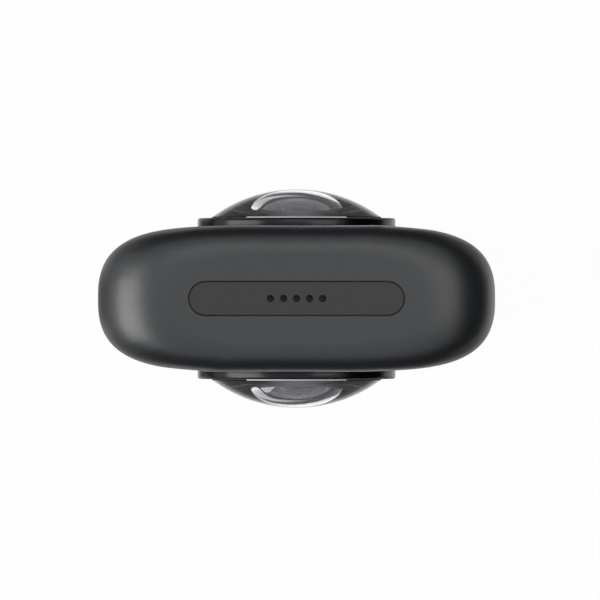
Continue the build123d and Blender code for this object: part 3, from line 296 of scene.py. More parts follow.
def makeMetal(name, dark, light, low, high, size, height, stretch=(1, 1, 1)):
    # A metal whose noise is drawn out along the direction in which it was rolled, turned or brushed
    material, shader, place = newMaterial(name, light, (low + high) / 2, 1.0)
    noise = grain(material, shader, place, size, height, low, high, stretch)
    tint(material, shader, noise.outputs["Fac"], dark, light)
    return material


def makeCircuitBoard():
    # Glass-epoxy board under green solder mask: copper tracks 0.2 mm wide show through as paler bands
    tile = 1.6
    material, shader, place = newMaterial("solderMaskedBoard", "#0B3322", 0.32, IOR=1.5)
    turn = addNode(material, "ShaderNodeMapping", {"Rotation": (math.radians(90), 0, 0)}, {"Vector": place})
    track = addNode(
        material, "ShaderNodeTexBrick",
        {"Scale": 1 / (tile * mm), "Mortar Size": 0.06, "Mortar Smooth": 0.1, "Brick Width": 0.9,
         "Row Height": 0.35, "Color1": hexColor("#0A2E1E"), "Color2": hexColor("#0D3826"),
         "Mortar": hexColor("#1C5A3C")},
        {"Vector": turn.outputs["Vector"]}, offset=0.37, squash=1.3,
    )
    grain(material, shader, place, size=0.4, height=0.001, low=0.28, high=0.38)
    material.node_tree.links.new(track.outputs["Color"], shader.inputs["Base Color"])
    return material


def makeWovenMesh():
    # Black-oxidised steel cloth over the sound holes, of 0.05 mm wire, drawn here at a pitch of 0.16 mm
    pitch, relief = 0.16, 0.03
    material, shader, place = newMaterial("blackenedSteelCloth", "#070707", 0.6)
    wires = addNode(
        material, "ShaderNodeTexVoronoi", {"Scale": 1 / (pitch * mm), "Randomness": 0.0}, {"Vector": place},
        distance="CHEBYCHEV",
    )
    bump = addNode(material, "ShaderNodeBump", {"Strength": 1.0, "Distance": relief * mm},
                   {"Height": wires.outputs["Distance"]})
    # The openings between the wires are painted darker than the wires: painted shade of the hollow behind the
    # cloth.
    tint(material, shader, wires.outputs["Distance"], "#020202", "#0C0C0C", 0.2, 0.5)
    material.node_tree.links.new(bump.outputs["Normal"], shader.inputs["Normal"])
    return material


# The display window, in mm: its height on the body, the radius of the part that shows, the soft edge of the
# printed border, and the size of the smears left by wiping, with the roughness they give
window = {"height": 69.0, "display": 5.9, "edge": 0.06, "smear": 4.0, "low": 0.02, "high": 0.07}


def makeWindowGlass():
    # Smoked, hard-coated acrylic with a black border printed on its back. The display behind shows a little.
    material, shader, place = newMaterial("smokedAcrylicWindow", "#030304", 0.05, IOR=1.49)
    centred = addNode(material, "ShaderNodeMapping", {"Location": (0, 0, -window["height"] * mm)},
                      {"Vector": place})
    flat = addNode(material, "ShaderNodeVectorMath", {1: (1, 0, 1)}, {0: centred.outputs["Vector"]},
                   operation="MULTIPLY")
    radius = addNode(material, "ShaderNodeVectorMath", links={0: flat.outputs["Vector"]}, operation="LENGTH")
    rim = window["display"]
    inside = addNode(material, "ShaderNodeMapRange",
                     {"From Min": rim * mm, "From Max": (rim + window["edge"]) * mm,
                      "To Min": 1.0, "To Max": 0.0}, {"Value": radius.outputs["Value"]})
    tint(material, shader, inside.outputs["Result"], "#020202", "#0A0B0E", 0.0, 1.0)
    smear = addNode(material, "ShaderNodeTexNoise", {"Scale": 1 / (window["smear"] * mm), "Detail": 3.0},
                    {"Vector": place})
    gloss = addNode(material, "ShaderNodeMapRange", {"To Min": window["low"], "To Max": window["high"]},
                    {"Value": smear.outputs["Fac"]})
    material.node_tree.links.new(gloss.outputs["Result"], shader.inputs["Roughness"])
    return material


def makeSensorDie():
    # An image sensor under its cover glass: a dark die whose microscopic lenses split light into colours
    material, shader, place = newMaterial(
        "coveredSensorDie", "#10161C", 0.12, Coat_Weight=1.0, Coat_Roughness=0.03,
        Thin_Film_Thickness=420.0, Thin_Film_IOR=1.9,
    )
    grain(material, shader, place, size=0.2, height=0.0005, low=0.08, high=0.16)
    return material


def makeFilterGlass():
    # Infrared filter: a thin plate of glass melted with copper, which gives it a blue-green cast
    return newMaterial("absorbingFilterGlass", "#A9C3C4", 0.01, IOR=1.52, Transmission_Weight=1.0)[0]


def makeLightGuide():
    # Milky polycarbonate rod that spreads the status light over its end
    material, shader, place = newMaterial(
        "diffusingPolycarbonate", "#C9CDD2", 0.4, IOR=1.58, Transmission_Weight=0.35)
    grain(material, shader, place, size=0.15, height=0.002, low=0.34, high=0.48)
    return material


def makeFoam():
    # Closed-cell polyurethane foam: its cut cells, 0.25 mm across, make it matt and pitted
    cell, relief = 0.25, 0.08
    material, shader, place = newMaterial("closedCellFoam", "#141414", 0.9)
    cells = addNode(material, "ShaderNodeTexVoronoi", {"Scale": 1 / (cell * mm)}, {"Vector": place})
    bump = addNode(material, "ShaderNodeBump", {"Strength": 1.0, "Distance": relief * mm},
                   {"Height": cells.outputs["Distance"]}, invert=True)
    # The cells are painted darker towards their edges, where the bump presses in: painted shade in the pits.
    tint(material, shader, cells.outputs["Distance"], "#1B1B1B", "#0B0B0B", 0.1, 0.8)
    material.node_tree.links.new(bump.outputs["Normal"], shader.inputs["Normal"])
    return material


frameShell = texturedShell("glassFilledPolycarbonateFrame", shell["frame"])
coverShell = texturedShell("glassFilledPolycarbonateCover", shell["cover"])
capShell = texturedShell("glassFilledPolycarbonateCap", shell["cap"], shell["capGloss"])
doorShell = texturedShell("glassFilledPolycarbonateDoor", shell["door"])
ringBlack, domeGlass, lensGlass = makeRingBlack(), makeDomeGlass(), makeLensGlass()
groundGlassAndHighlight, seatPaintedReflection = makeGroundGlassAndHighlight(), makeSeatPaintedReflection()
edgeInk, barrelBlack = makeEdgeInk(), makeBarrelBlack()
circuitBoard, wovenMesh, windowGlass = makeCircuitBoard(), makeWovenMesh(), makeWindowGlass()
sensorDie, filterGlass, lightGuide, foam = makeSensorDie(), makeFilterGlass(), makeLightGuide(), makeFoam()

# Button caps are acrylonitrile butadiene styrene, satin from a vapour-blasted mould
buttonSatin = makeMoulded(
    "satinButtonPlastic", "#17181A", low=0.24, high=0.32, size=0.3, height=0.0015, IOR=1.54)
# Epoxy compound pressed round chips and switches, filled with quartz: matt and even black
chipBlack = makeMoulded("epoxyChipPackage", "#121213", low=0.4, high=0.55)
# Polycarbonate of the bay and the bolt, plain from the mould: dark, with a dull sheen
innerPlastic = makeMoulded("mouldedInnerPolycarbonate", "#1D1D1E", low=0.38, high=0.5, IOR=1.58)
# A memory card's shell, moulded thin round its chip: black and a little shinier
cardPlastic = makeMoulded("mouldedCardPlastic", "#131316", low=0.3, high=0.42)
# Heat-shrunk polyester sleeve, glossy and slightly wrinkled along its length
batteryWrap = makeMoulded(
    "shrunkPolyesterSleeve", "#2A2B2F", low=0.2, high=0.34, size=2.5, height=0.03)
# Polyimide film over copper: amber and glossy
ribbonFilm = makeMoulded("polyimideFilm", "#8A5210", low=0.18, high=0.28, size=0.8, height=0.002)
# Cover glass of a display module that is off: almost black and very smooth
panelGlass = makeMoulded("displayModuleGlass", "#0A0A0E", low=0.06, high=0.1, size=1.0, height=0.0005)
# Ink pressed on by a silicone pad: a thin pale grey film without a shine
printInk = makeMoulded("padPrintedInk", "#B9BBBE", low=0.45, high=0.6, size=0.1, height=0.001)

# Die-cast magnesium, shot-blasted: pale grey with fine pits
castMetal = makeMetal(
    "dieCastMagnesium", "#8C8C8F", "#A6A6A8", low=0.4, high=0.55, size=0.3, height=0.01)
# Turned free-cutting brass, nickel plated, with tool lines round its axis
insertMetal = makeMetal(
    "nickelPlatedBrass", "#A8A49C", "#C4C0B8", low=0.22, high=0.34, size=0.15, height=0.003,
    stretch=(1, 1, 6))
# Cold-rolled stainless sheet, stamped: fine lines along the rolling direction
sheetSteel = makeMetal(
    "rolledStainlessSheet", "#9C9D9F", "#B4B5B7", low=0.22, high=0.36, size=0.12, height=0.002,
    stretch=(0.08, 1, 1))
# Steel screws blackened in hot salts, slightly blotched
screwSteel = makeMetal(
    "blackOxideSteel", "#1B1B1C", "#2B2B2D", low=0.3, high=0.45, size=0.4, height=0.002)
# Aluminium trim ring, turned and anodised dark grey
ringAccent = makeMetal(
    "anodisedAluminium", "#4A4B4E", "#5E5F62", low=0.2, high=0.3, size=0.1, height=0.0015)
# Hard gold over nickel on the contacts
goldContact = makeMetal(
    "hardGoldPlate", "#C89A45", "#DDB25C", low=0.15, high=0.28, size=0.2, height=0.001)
# Rolled copper foil, a little dulled by handling
copperSheet = makeMetal(
    "rolledCopperFoil", "#9A5D40", "#B87350", low=0.25, high=0.42, size=0.5, height=0.002,
    stretch=(1, 1, 0.1))
print("materials made")


def ringOutline():
    # The lens ring: back face, rounded outer edge, raised face, bore and inner shelf
    return roundOff(
        [
            (lens["ringHole"], lens["ringBack"]), (lens["ringRadius"], lens["ringBack"]),
            (lens["ringRadius"], lens["ringFace"]), (lens["ringBore"], lens["ringFace"]),
            (lens["ringBore"], lens["ringShelf"]), (lens["ringHole"], lens["ringShelf"]),
        ],
        lens["ringEdge"],
    )


def hollowed(radii, reaches, hollowCurve, hollowApex, back, bands=()):
    # A front surface, then its flat back, then the hollow: a ball surface from the back up to the axis. The
    # mouth's radius is the root of the ball's radius squared less its centre's distance from the back squared.
    mouth = math.sqrt(hollowCurve ** 2 - (back - hollowApex + hollowCurve) ** 2)
    hollow = np.sin(np.linspace(1, 0, lens["hollowRows"]) * math.asin(mouth / hollowCurve)) * hollowCurve
    flat = np.concatenate([[radii[-1]], bands])
    radii = np.concatenate([radii, flat, hollow])
    reaches = np.concatenate([reaches, np.full(len(flat), back), ballReach(hollowCurve, hollowApex, hollow)])
    return np.stack([radii, reaches], -1), mouth


def domeOutline():
    # Front ball surface, ground bevel, short land at the edge, flat back and deep hollow
    apex = lens["ringFace"] + sag(lens["domeCurve"], lens["domeRadius"])
    front = np.linspace(0, lens["domeRadius"] - lens["domeBevel"], lens["domeRows"])
    reaches = ballReach(lens["domeCurve"], apex, front)
    return hollowed(
        np.append(front, lens["domeRadius"]), np.append(reaches, reaches[-1] - lens["domeBevel"]),
        lens["hollowCurve"], apex - lens["domeThickness"], lens["domeBack"],
        [lens["seatTo"], lens["polishedTo"], lens["polishedFrom"]],
    )


def secondOutline():
    # The second lens: a steeper meniscus of the same build
    apex = lens["secondEdge"] + sag(lens["secondCurve"], lens["secondRadius"])
    front = np.linspace(0, lens["secondRadius"], lens["secondRows"])
    return hollowed(
        front, ballReach(lens["secondCurve"], apex, front), lens["secondHollow"],
        apex - lens["secondThickness"], lens["secondBack"],
    )


def innerOutline():
    # A small lens that is rounded on both sides: one ball surface in front, and one turned over behind
    radii = np.linspace(0, lens["innerRadius"], lens["innerRows"])
    apex = lens["innerEdge"] + sag(lens["innerFrontCurve"], lens["innerRadius"])
    front = ballReach(lens["innerFrontCurve"], apex, radii)
    low = lens["innerBack"] - sag(lens["innerBackCurve"], lens["innerRadius"])
    back = 2 * low - ballReach(lens["innerBackCurve"], low, radii)
    return np.stack([np.append(radii, radii[::-1]), np.append(front, back[::-1])], -1)


def paintEdges(piece, chooseMaterial):
    # Each face takes the material that its radius, reach and place across call for
    mesh = piece.data
    centre = np.zeros(len(mesh.polygons) * 3, np.float32)
    mesh.polygons.foreach_get("center", centre)
    centre = centre.reshape(-1, 3) / mm
    radius = np.hypot(centre[:, 0], centre[:, 2] - lens["height"])
    kind = chooseMaterial(radius, np.abs(centre[:, 1]), np.abs(centre[:, 0]))
    mesh.polygons.foreach_set("material_index", kind.astype(np.int32))


def domeFinish(radius, reach, across):
    # 0 is polished glass, 1 lacquer, 2 ground glass as a painted highlight and 3 the fine-ground seat, whose
    # grey is painted reflection. Lacquer lies on the flat back and the land. It leaves a fine polished line on
    # the back, beside the middle, and leaves the pale ground bevel at the top and bottom only, as a painted
    # highlight line.
    flatBack = (reach < lens["domeBack"] + lens["near"]) & (radius > domeMouth + lens["near"])
    line = flatBack & (radius > lens["polishedFrom"]) & (radius < lens["polishedTo"])
    clear = line & (across > lens["polishedBeside"])
    black = (flatBack & ~clear) | (radius > lens["domeRadius"] - lens["near"])
    bevel = (radius > lens["domeRadius"] - lens["domeBevel"]) & ~flatBack & ~black
    kind = np.where(bevel & (across < lens["highlightBevel"]), 2, np.where(black | bevel, 1, 0))
    seat = flatBack & (radius < lens["seatTo"]) & (across < lens["seatAcross"]) & ~clear
    return np.where(seat, 3, kind)


def secondFinish(radius, reach, across):
    # Lacquer on the flat back and the edge
    flatBack = (reach < lens["secondBack"] + lens["near"]) & (radius > secondMouth + lens["near"])
    return flatBack | (radius > lens["secondRadius"] - lens["near"])


domeLine, domeMouth = domeOutline()
secondLine, secondMouth = secondOutline()
for side, word in ((1, "front"), (-1, "rear")):
    ringPoints = turnedAbout(ringOutline(), side)
    meshPiece(word + "LensRing", ringPoints.reshape(-1, 3), gridFaces(len(ringPoints), lens["steps"], True),
              ringBlack, "camera_body", "ring_black", [word + "_lens_ring"])
    dome = meshPiece(
        word + "DomeLens", *poledGrid(turnedAbout(domeLine, side)),
        [domeGlass, edgeInk, groundGlassAndHighlight, seatPaintedReflection],
        "camera_body", "dome_glass", [word + "_dome_lens"], lens["crease"],
    )
    paintEdges(dome, domeFinish)
    second = meshPiece(
        word + "SecondLens", *poledGrid(turnedAbout(secondLine, side)), [lensGlass, edgeInk],
        "camera_body", "lens_glass", [word + "_second_lens"], lens["crease"],
    )
    paintEdges(second, secondFinish)

frontInner, frontInnerFaces = poledGrid(turnedAbout(innerOutline(), 1))
rearInner, rearInnerFaces = poledGrid(turnedAbout(innerOutline(), -1), len(frontInner))
meshPiece("innerLensPair", np.concatenate([frontInner, rearInner]), frontInnerFaces + rearInnerFaces,
          lensGlass, "camera_body", "lens_glass", ["inner_lenses"], lens["crease"])
print("lenses made")

# The tripod insert, in mm. The thread is the usual one of a quarter inch: 6.35 across, 20 turns to the inch.
# Gain and offset turn a triangle wave from 0 to 1 into the thread's flanks, with flat crests and roots.
insert = {
    "radius": 4.0, "height": 7.0, "flangeLength": 27.0, "flangeWidth": 9.0, "flangeFrom": 1.5,
    "flangeTo": 2.9, "crest": 2.6, "root": 3.12, "pitch": 1.27, "depth": 6.2, "mouth": 3.4,
    "edge": 0.12, "gain": 1.35, "offset": 0.17, "columns": 144, "rowsPerTurn": 14,
}


def stadiumRadius(angle, length, width):
    # Distance from the centre of a stadium to its edge along an angle. To the straight side it is half the
    # width over the sine, and to the round end it is where the line leaves that end's circle.
    half, centre = width / 2, (length - width) / 2
    side = half / np.maximum(np.abs(np.sin(angle)), 1e-9)
    along = centre * np.abs(np.cos(angle))
    end = along + np.sqrt(np.maximum(half ** 2 - (centre * np.sin(angle)) ** 2, 0))
    return np.where(np.abs(side * np.cos(angle)) <= centre, side, end)


def makeTripodInsert():
    # One grid turned about z, of radius and height: the body, the stadium flange, then the bore. In the bore
    # the radius is the crest's plus the thread's depth times a flattened triangle wave of height over
    # pitch less turns, which is a screw line, and never less than a cone that opens at the mouth.
    angle = np.linspace(0, 2 * np.pi, insert["columns"], endpoint=False)
    ones = np.ones_like(angle)
    flange = stadiumRadius(angle, insert["flangeLength"], insert["flangeWidth"])
    turns = insert["depth"] / insert["pitch"]
    bore = np.linspace(0, insert["depth"], round(turns * insert["rowsPerTurn"]))
    phase = (bore[:, None] / insert["pitch"] - angle[None, :] / (2 * np.pi)) % 1
    wave = np.clip(insert["gain"] * (1 - np.abs(2 * phase - 1)) - insert["offset"], 0, 1)
    thread = insert["crest"] + (insert["root"] - insert["crest"]) * wave
    thread = np.maximum(thread, insert["mouth"] - bore[:, None])
    edge = insert["edge"]
    shape = [
        (0 * ones, insert["height"]), ((insert["radius"] - edge) * ones, insert["height"]),
        (insert["radius"] * ones, insert["height"] - edge), (insert["radius"] * ones, insert["flangeTo"]),
        (flange - edge, insert["flangeTo"]), (flange, insert["flangeTo"] - edge),
        (flange, insert["flangeFrom"] + edge), (flange - edge, insert["flangeFrom"]),
        (insert["radius"] * ones, insert["flangeFrom"]), (insert["radius"] * ones, edge),
        ((insert["radius"] - edge) * ones, 0),
    ]
    radii = np.concatenate([[r for r, z in shape], thread, [0 * ones]])
    heights = np.concatenate([[z * ones for r, z in shape], bore[:, None] * ones, [insert["depth"] * ones]])
    points = np.stack([radii * np.cos(angle), radii * np.sin(angle), heights], -1)
    meshPiece("tripodInsert", *poledGrid(points), insertMetal, "camera_body", "sheet_steel",
              ["tripod_insert"])


makeTripodInsert()
print("tripod insert made")

# The printed power mark, in mm: an open ring and a bar on the button's dished face. The gap is in degrees,
# half of it each side of the top, and a higher taper gives blunter ends.
powerMark = {
    "height": 34.0, "face": -9.0, "buttonRadius": 3.5, "dish": 0.2, "ringRadius": 1.05, "gap": 38.0,
    "barFrom": 0.35, "barTo": 1.45, "line": 0.13, "ink": 0.025,
    "taper": 16, "arcSteps": 72, "barSteps": 40, "beadSteps": 12,
}


def dishedFace(x, z):
    # The depth y of the dished button face: a ball surface that is deepest in the middle. The ball's radius
    # is the rim's radius squared plus the dish's depth squared, over twice that depth.
    curve = (powerMark["buttonRadius"] ** 2 + powerMark["dish"] ** 2) / (2 * powerMark["dish"])
    fall = curve - np.sqrt(curve ** 2 - x ** 2 - z ** 2)
    return powerMark["face"] + powerMark["dish"] - fall


def inkLine(x, z, start):
    # A low rounded bead of ink along a path, tapering to a point at both ends: each point of the path is
    # moved across it by the width times a cosine, and off the face by the ink's height times a sine
    along = np.linspace(0, 1, len(x))
    width = powerMark["line"] * np.sqrt(np.clip(1 - (2 * along - 1) ** powerMark["taper"], 0, 1))
    dx, dz = np.gradient(x), np.gradient(z)
    size = np.hypot(dx, dz)
    turn = np.linspace(0, 2 * np.pi, powerMark["beadSteps"], endpoint=False)
    px = x[:, None] - (dz / size * width)[:, None] * np.cos(turn)
    pz = z[:, None] + (dx / size * width)[:, None] * np.cos(turn)
    py = dishedFace(px, pz) - powerMark["ink"] * (width / powerMark["line"])[:, None] * np.sin(turn)
    return poledGrid(np.stack([px, py, pz + powerMark["height"]], -1), start)


def makePowerMark():
    # An arc that leaves a gap at the top, and a bar in the gap
    turn = np.radians(np.linspace(powerMark["gap"], 360 - powerMark["gap"], powerMark["arcSteps"]))
    radius = powerMark["ringRadius"]
    ringPoints, ringFaces = inkLine(radius * np.sin(turn), radius * np.cos(turn), 0)
    bar = np.linspace(powerMark["barFrom"], powerMark["barTo"], powerMark["barSteps"])
    barPoints, barFaces = inkLine(0 * bar, bar, len(ringPoints))
    meshPiece("powerMark", np.concatenate([ringPoints, barPoints]), ringFaces + barFaces, printInk,
              "power_key", "light_guide")


makePowerMark()

# Gold strips on the socket's tongue, in mm
socketStrips = {
    "count": 12, "pitch": 0.4, "width": 0.22, "thickness": 0.03, "xFrom": -20.9, "xTo": -17.6,
    "tongue": 0.3, "level": 40.0, "crease": 20.0,
}


def makeSocketStrips():
    # Low pads on both sides of the tongue: one chamfered pad, copied along the row and turned over
    s = socketStrips
    place = (np.arange(s["count"]) - (s["count"] - 1) / 2) * s["pitch"] + s["level"]
    half, rise, start, end = s["width"] / 2, s["thickness"], s["xFrom"], s["xTo"]
    foot = np.array([[start, 0, -half], [end, 0, -half], [end, 0, half], [start, 0, half]])
    inwards = rise * np.array([[1, 1, 1], [-1, 1, 1], [-1, 1, -1], [1, 1, -1]])
    pad = np.concatenate([foot, foot + inwards]) + [0, s["tongue"], 0]
    pads = pad[None] + np.stack([0 * place, 0 * place, place], -1)[:, None]
    both = np.concatenate([pads, pads * [1, -1, 1]])
    box = np.array([[0, 1, 2, 3], [4, 5, 6, 7], [0, 1, 5, 4], [1, 2, 6, 5], [2, 3, 7, 6], [3, 0, 4, 7]])
    faces = box[None] + (np.arange(len(both)) * len(pad))[:, None, None]
    meshPiece("socketStrips", both.reshape(-1, 3), faces.reshape(-1, 4), goldContact, "camera_body",
              "gold_contact", sharp=s["crease"])


makeSocketStrips()
print("marks and contacts made")

# The top cap's rounded edges, with lengths in mm and angles in degrees: corners nearer than join become one,
# faces within flat of each other become one, and edges over sharpFrom are rounded
capEdge = {"width": 0.03, "segments": 3, "sharpFrom": 50.0, "join": 0.002, "flat": 1.0, "crease": 12.0}


def makeTopCap():
    # The cap's own solid, its loose triangles joined and its flat faces made whole, with small rounds
    # on every edge, so that light runs round the rim and the rims of the sound holes
    work = bmesh.new()
    work.from_mesh(nodes["top_cap"].data)
    bmesh.ops.remove_doubles(work, verts=work.verts, dist=capEdge["join"] * mm)
    bmesh.ops.dissolve_limit(
        work, angle_limit=math.radians(capEdge["flat"]), verts=work.verts, edges=work.edges)
    sharp = [e for e in work.edges if len(e.link_faces) == 2
             and e.calc_face_angle() > math.radians(capEdge["sharpFrom"])]
    bmesh.ops.bevel(work, geom=sharp, offset=capEdge["width"] * mm, segments=capEdge["segments"],
                    affect="EDGES", profile=0.5, clamp_overlap=True)
    bmesh.ops.triangulate(work, faces=work.faces)
    mesh = bpy.data.meshes.new("topCap")
    work.to_mesh(mesh)
    work.free()
    points = np.zeros(len(mesh.vertices) * 3)
    mesh.vertices.foreach_get("co", points)
    faces = [list(face.vertices) for face in mesh.polygons]
    bpy.data.meshes.remove(mesh)
    meshPiece("topCap", points.reshape(-1, 3) / mm, faces, capShell, "camera_body", "cover_plastic",
              ["top_cap"], capEdge["crease"])


makeTopCap()
print("top cap made")

# Each carried-over solid takes the finish of the real piece
finish = {
    frameShell: ["main_frame"],
    coverShell: ["front_cover", "rear_cover", "base_plate"],
    doorShell: ["battery_door", "latch_knob"],
    barrelBlack: ["front_lens_barrel", "rear_lens_barrel", "lens_retainers"],
    wovenMesh: ["mic_mesh", "speaker"],
    circuitBoard: ["main_board", "front_sensor_board", "rear_sensor_board", "mic_board", "socket_board"],
    chipBlack: ["board_chips", "board_connectors", "microphones", "shutter_switch", "power_switch"],
    castMetal: ["lens_bracket"],
    sheetSteel: ["chip_shield", "card_slot", "charging_socket", "hinge_pin"],
    screwSteel: ["barrel_screws", "cover_screws", "chassis_screws", "base_screws"],
    windowGlass: ["display_window"],
    panelGlass: ["display_panel"],
    foam: ["display_foam", "door_pad"],
    buttonSatin: ["shutter_button", "power_button", "shutter_plunger", "power_plunger"],
    ringAccent: ["shutter_ring"],
    lightGuide: ["status_light_pipe", "status_led"],
    batteryWrap: ["battery"],
    innerPlastic: ["battery_bay", "latch_bolt"],
    goldContact: ["battery_contacts"],
    cardPlastic: ["memory_card"],
    copperSheet: ["heat_sheet"],
    ribbonFilm: ["sensor_ribbons", "wifi_antenna"],
    sensorDie: ["image_sensors"],
    filterGlass: ["infrared_filters"],
}
for material, names in finish.items():
    for name in names:
        nodes[name].data.materials.clear()
        nodes[name].data.materials.append(material)
print("finishes given")

# The body's form in mm, and how its shading is eased: on corners so near the form and so close to its
# slope, fading out towards the ends
form = {
    "width": 48.0, "depth": 17.6, "height": 115.0, "widthPower": 4.9, "depthPower": 2.6, "endPower": 2.5,
    "flatWidth": 28.0, "flatDepth": 10.8, "roundWidth": 10.0, "roundDepth": 3.6,
    "near": 0.03, "slope": 12.0, "easeFrom": 2.0, "easeTo": 8.0, "step": 0.05,
}


def drawnIn(depth, zone, flat, full):
    # Half size at a depth below an end: flat at the end itself, full once past the rounding. Between them
    # it grows as a superellipse: the root of 1 less the share of the rounding still to go, to a power.
    share = 1 - np.clip(depth / zone, 0, 1)
    return flat + (full - flat) * (1 - share ** form["endPower"]) ** (1 / form["endPower"])


def easeShading(name):
    # The sections are splines with a ripple of some hundredths of a millimetre, which a sheen would show as
    # a crease. Where a corner lies on the outside, its shading normal is the slope of the superellipse
    # |x/w|^p + |y/d|^q = 1, whose half sizes w and d shrink towards the ends. No vertex moves.
    mesh = nodes[name].data
    corners = np.empty(len(mesh.loops), int)
    mesh.loops.foreach_get("vertex_index", corners)
    places, normals = np.empty(len(mesh.vertices) * 3), np.empty(len(mesh.loops) * 3)
    mesh.vertices.foreach_get("co", places)
    mesh.corner_normals.foreach_get("vector", normals)
    normals = normals.reshape(-1, 3)
    x, y, z = (places.reshape(-1, 3)[corners] / mm).T
    depth, toEnd = np.minimum(z, form["height"] - z), np.sign(z - form["height"] / 2)

    def halves(at):
        return (drawnIn(at, form["roundWidth"], form["flatWidth"] / 2, form["width"] / 2),
                drawnIn(at, form["roundDepth"], form["flatDepth"] / 2, form["depth"] / 2))

    (w, d), above, below = halves(depth), halves(depth + form["step"]), halves(depth - form["step"])
    growth = [(a - b) / (2 * form["step"]) for a, b in zip(above, below)]
    p, q, across, along = form["widthPower"], form["depthPower"], np.abs(x) / w, np.abs(y) / d
    slope = np.stack([p * across ** (p - 1) / w * np.sign(x), q * along ** (q - 1) / d * np.sign(y),
                      (p * across ** p * growth[0] / w + q * along ** q * growth[1] / d) * toEnd], -1)
    slope /= np.maximum(np.linalg.norm(slope, axis=1), 1e-9)[:, None]
    outside = (np.abs(across ** p + along ** q - 1) < form["near"])
    outside &= (slope * normals).sum(1) > math.cos(math.radians(form["slope"]))
    share = np.clip((depth - form["easeFrom"]) / (form["easeTo"] - form["easeFrom"]), 0, 1) * outside
    normals = normals * (1 - share[:, None]) + slope * share[:, None]
    mesh.normals_split_custom_set((normals / np.linalg.norm(normals, axis=1)[:, None]).tolist())


for name in ("main_frame", "front_cover", "rear_cover", "battery_door"):
    easeShading(name)
print("shading eased")

# The studio, in metres: a white sweep, black cards that shape the reflections, and the camera above. The
# camera's reach is its height over the top end, and the frame width is what it sees at that height.
studio = {
    "white": "#FFFFFF", "paper": "#DDDDDD", "flock": "#020202", "floorSize": 12.0, "floorGlow": 0.97,
    "ambient": 0.4, "cardLift": 0.0005, "stripLift": 0.001,
    "cameraReach": 2.2, "frameWidth": 0.07215, "sensor": 36.0, "centre": (0.00042, -0.00018), "clip": 50,
}

# Black cards: where each stands, how far it runs along the other axis, and its height above the floor
cards = {
    "rightCard": {"x": 0.16, "half": 0.22, "top": 0.20},
    "frontCard": {"y": -0.19, "half": 0.22, "top": 0.25},
    "rearCard": {"y": 0.19, "half": 0.22, "top": 0.21},
    "leftCard": {"x": -0.16, "half": 0.15, "top": 0.038},
}

# Graduated cards that lie on the floor in front and behind, in metres: pale by the camera and dark further
# out. A plain grey one lies at the left side.
graduated = {
    "near": 0.02, "far": 0.19, "half": 0.13, "paleTo": 0.034, "darkFrom": 0.064, "pale": 0.75, "dark": 0.2,
    "sideNear": 0.06, "sideFar": 0.16, "sideHalf": 0.02, "side": 0.25,
}

# Pale strips that lie on the graduated cards, and that the domes mirror as two crescents: the middle
# line's x and y and its half widths in metres, and how brightly it glows at each point
strips = {
    "outerStrip": {
        "x": (-0.0096, -0.0062, -0.0017, 0.0028, 0.0070, 0.0120, 0.0170, 0.0230, 0.0280),
        "y": (0.0520, 0.0490, 0.0480, 0.0500, 0.0545, 0.0600, 0.0675, 0.0755, 0.0800),
        "half": (0.0020, 0.0060, 0.0095, 0.0105, 0.0100, 0.0090, 0.0070, 0.0045, 0.0015),
        "level": (0.8, 1.6, 2.0, 2.2, 2.4, 2.4, 2.3, 2.0, 1.4), "tone": "#F1EEF8",
    },
    "innerStrip": {
        "x": (-0.0460, -0.0400, -0.0350, -0.0285, -0.0241, -0.0198, -0.0150, -0.0109, -0.0042, 0.0038,
              0.0125),
        "y": (0.1300, 0.1170, 0.1070, 0.0950, 0.0880, 0.0815, 0.0782, 0.0794, 0.0823, 0.0862, 0.0915),
        "half": (0.0060, 0.0120, 0.0130, 0.0120, 0.0105, 0.0090, 0.0080, 0.0075, 0.0065, 0.0050, 0.0020),
        "level": (6.0, 5.0, 3.2, 2.2, 1.9, 1.9, 1.9, 1.8, 1.3, 0.7, 0.3), "tone": "#F4F2F8",
    },
}

# Soft boxes: place and aim in metres, size in metres, power in watts
lamps = {
    "topBox": {"place": (0.0, 0.22, 0.80), "aim": (0, 0, 0.11), "size": (0.50, 0.30), "power": 0.8},
    "leftBox": {"place": (-0.54, -0.10, 0.36), "aim": (0, 0, 0.10), "size": (0.46, 0.50), "power": 4.5},
    "rightBox": {"place": (0.42, 0.05, 0.75), "aim": (0, 0, 0.10), "size": (0.30, 0.4), "power": 1.0},
}


def whiteToTheEye(owner):
    # 1 for rays from the camera, and for those that come by way of gloss or through glass
    path = addNode(owner, "ShaderNodeLightPath")
    direct = addNode(owner, "ShaderNodeMath", operation="MAXIMUM",
                     links={0: path.outputs["Is Camera Ray"], 1: path.outputs["Is Transmission Ray"]})
    return addNode(owner, "ShaderNodeMath", operation="MAXIMUM",
                   links={0: direct.outputs["Value"], 1: path.outputs["Is Glossy Ray"]})


def stagePlane(name, corners, material, faces=((0, 1, 2, 3),)):
    # Corners in metres as one flat piece of the studio
    mesh = bpy.data.meshes.new(name)
    mesh.from_pydata(corners, [], list(faces))
    mesh.materials.append(material)
    plane = bpy.data.objects.new(name, mesh)
    bpy.context.scene.collection.objects.link(plane)
    return plane


def makeFloor():
    # A white sweep under the camera: white in the picture and in the glass, with a little of its soft shadow
    half = studio["floorSize"] / 2
    material, shader = newMaterial("whitePaperSweep", studio["paper"], 0.9)[:2]
    seen = whiteToTheEye(material)
    share = addNode(material, "ShaderNodeMath", {1: studio["floorGlow"]}, {0: seen.outputs["Value"]},
                    operation="MULTIPLY")
    glow = addNode(material, "ShaderNodeEmission", {"Color": hexColor(studio["white"]), "Strength": 1.0})
    mix = addNode(material, "ShaderNodeMixShader", links={
        0: share.outputs["Value"], 1: shader.outputs["BSDF"], 2: glow.outputs["Emission"]})
    out = next(n for n in material.node_tree.nodes if n.type == "OUTPUT_MATERIAL")
    material.node_tree.links.new(mix.outputs["Shader"], out.inputs["Surface"])
    corners = [(-half, -half, 0), (half, -half, 0), (half, half, 0), (-half, half, 0)]
    stagePlane("studioFloor", corners, material)


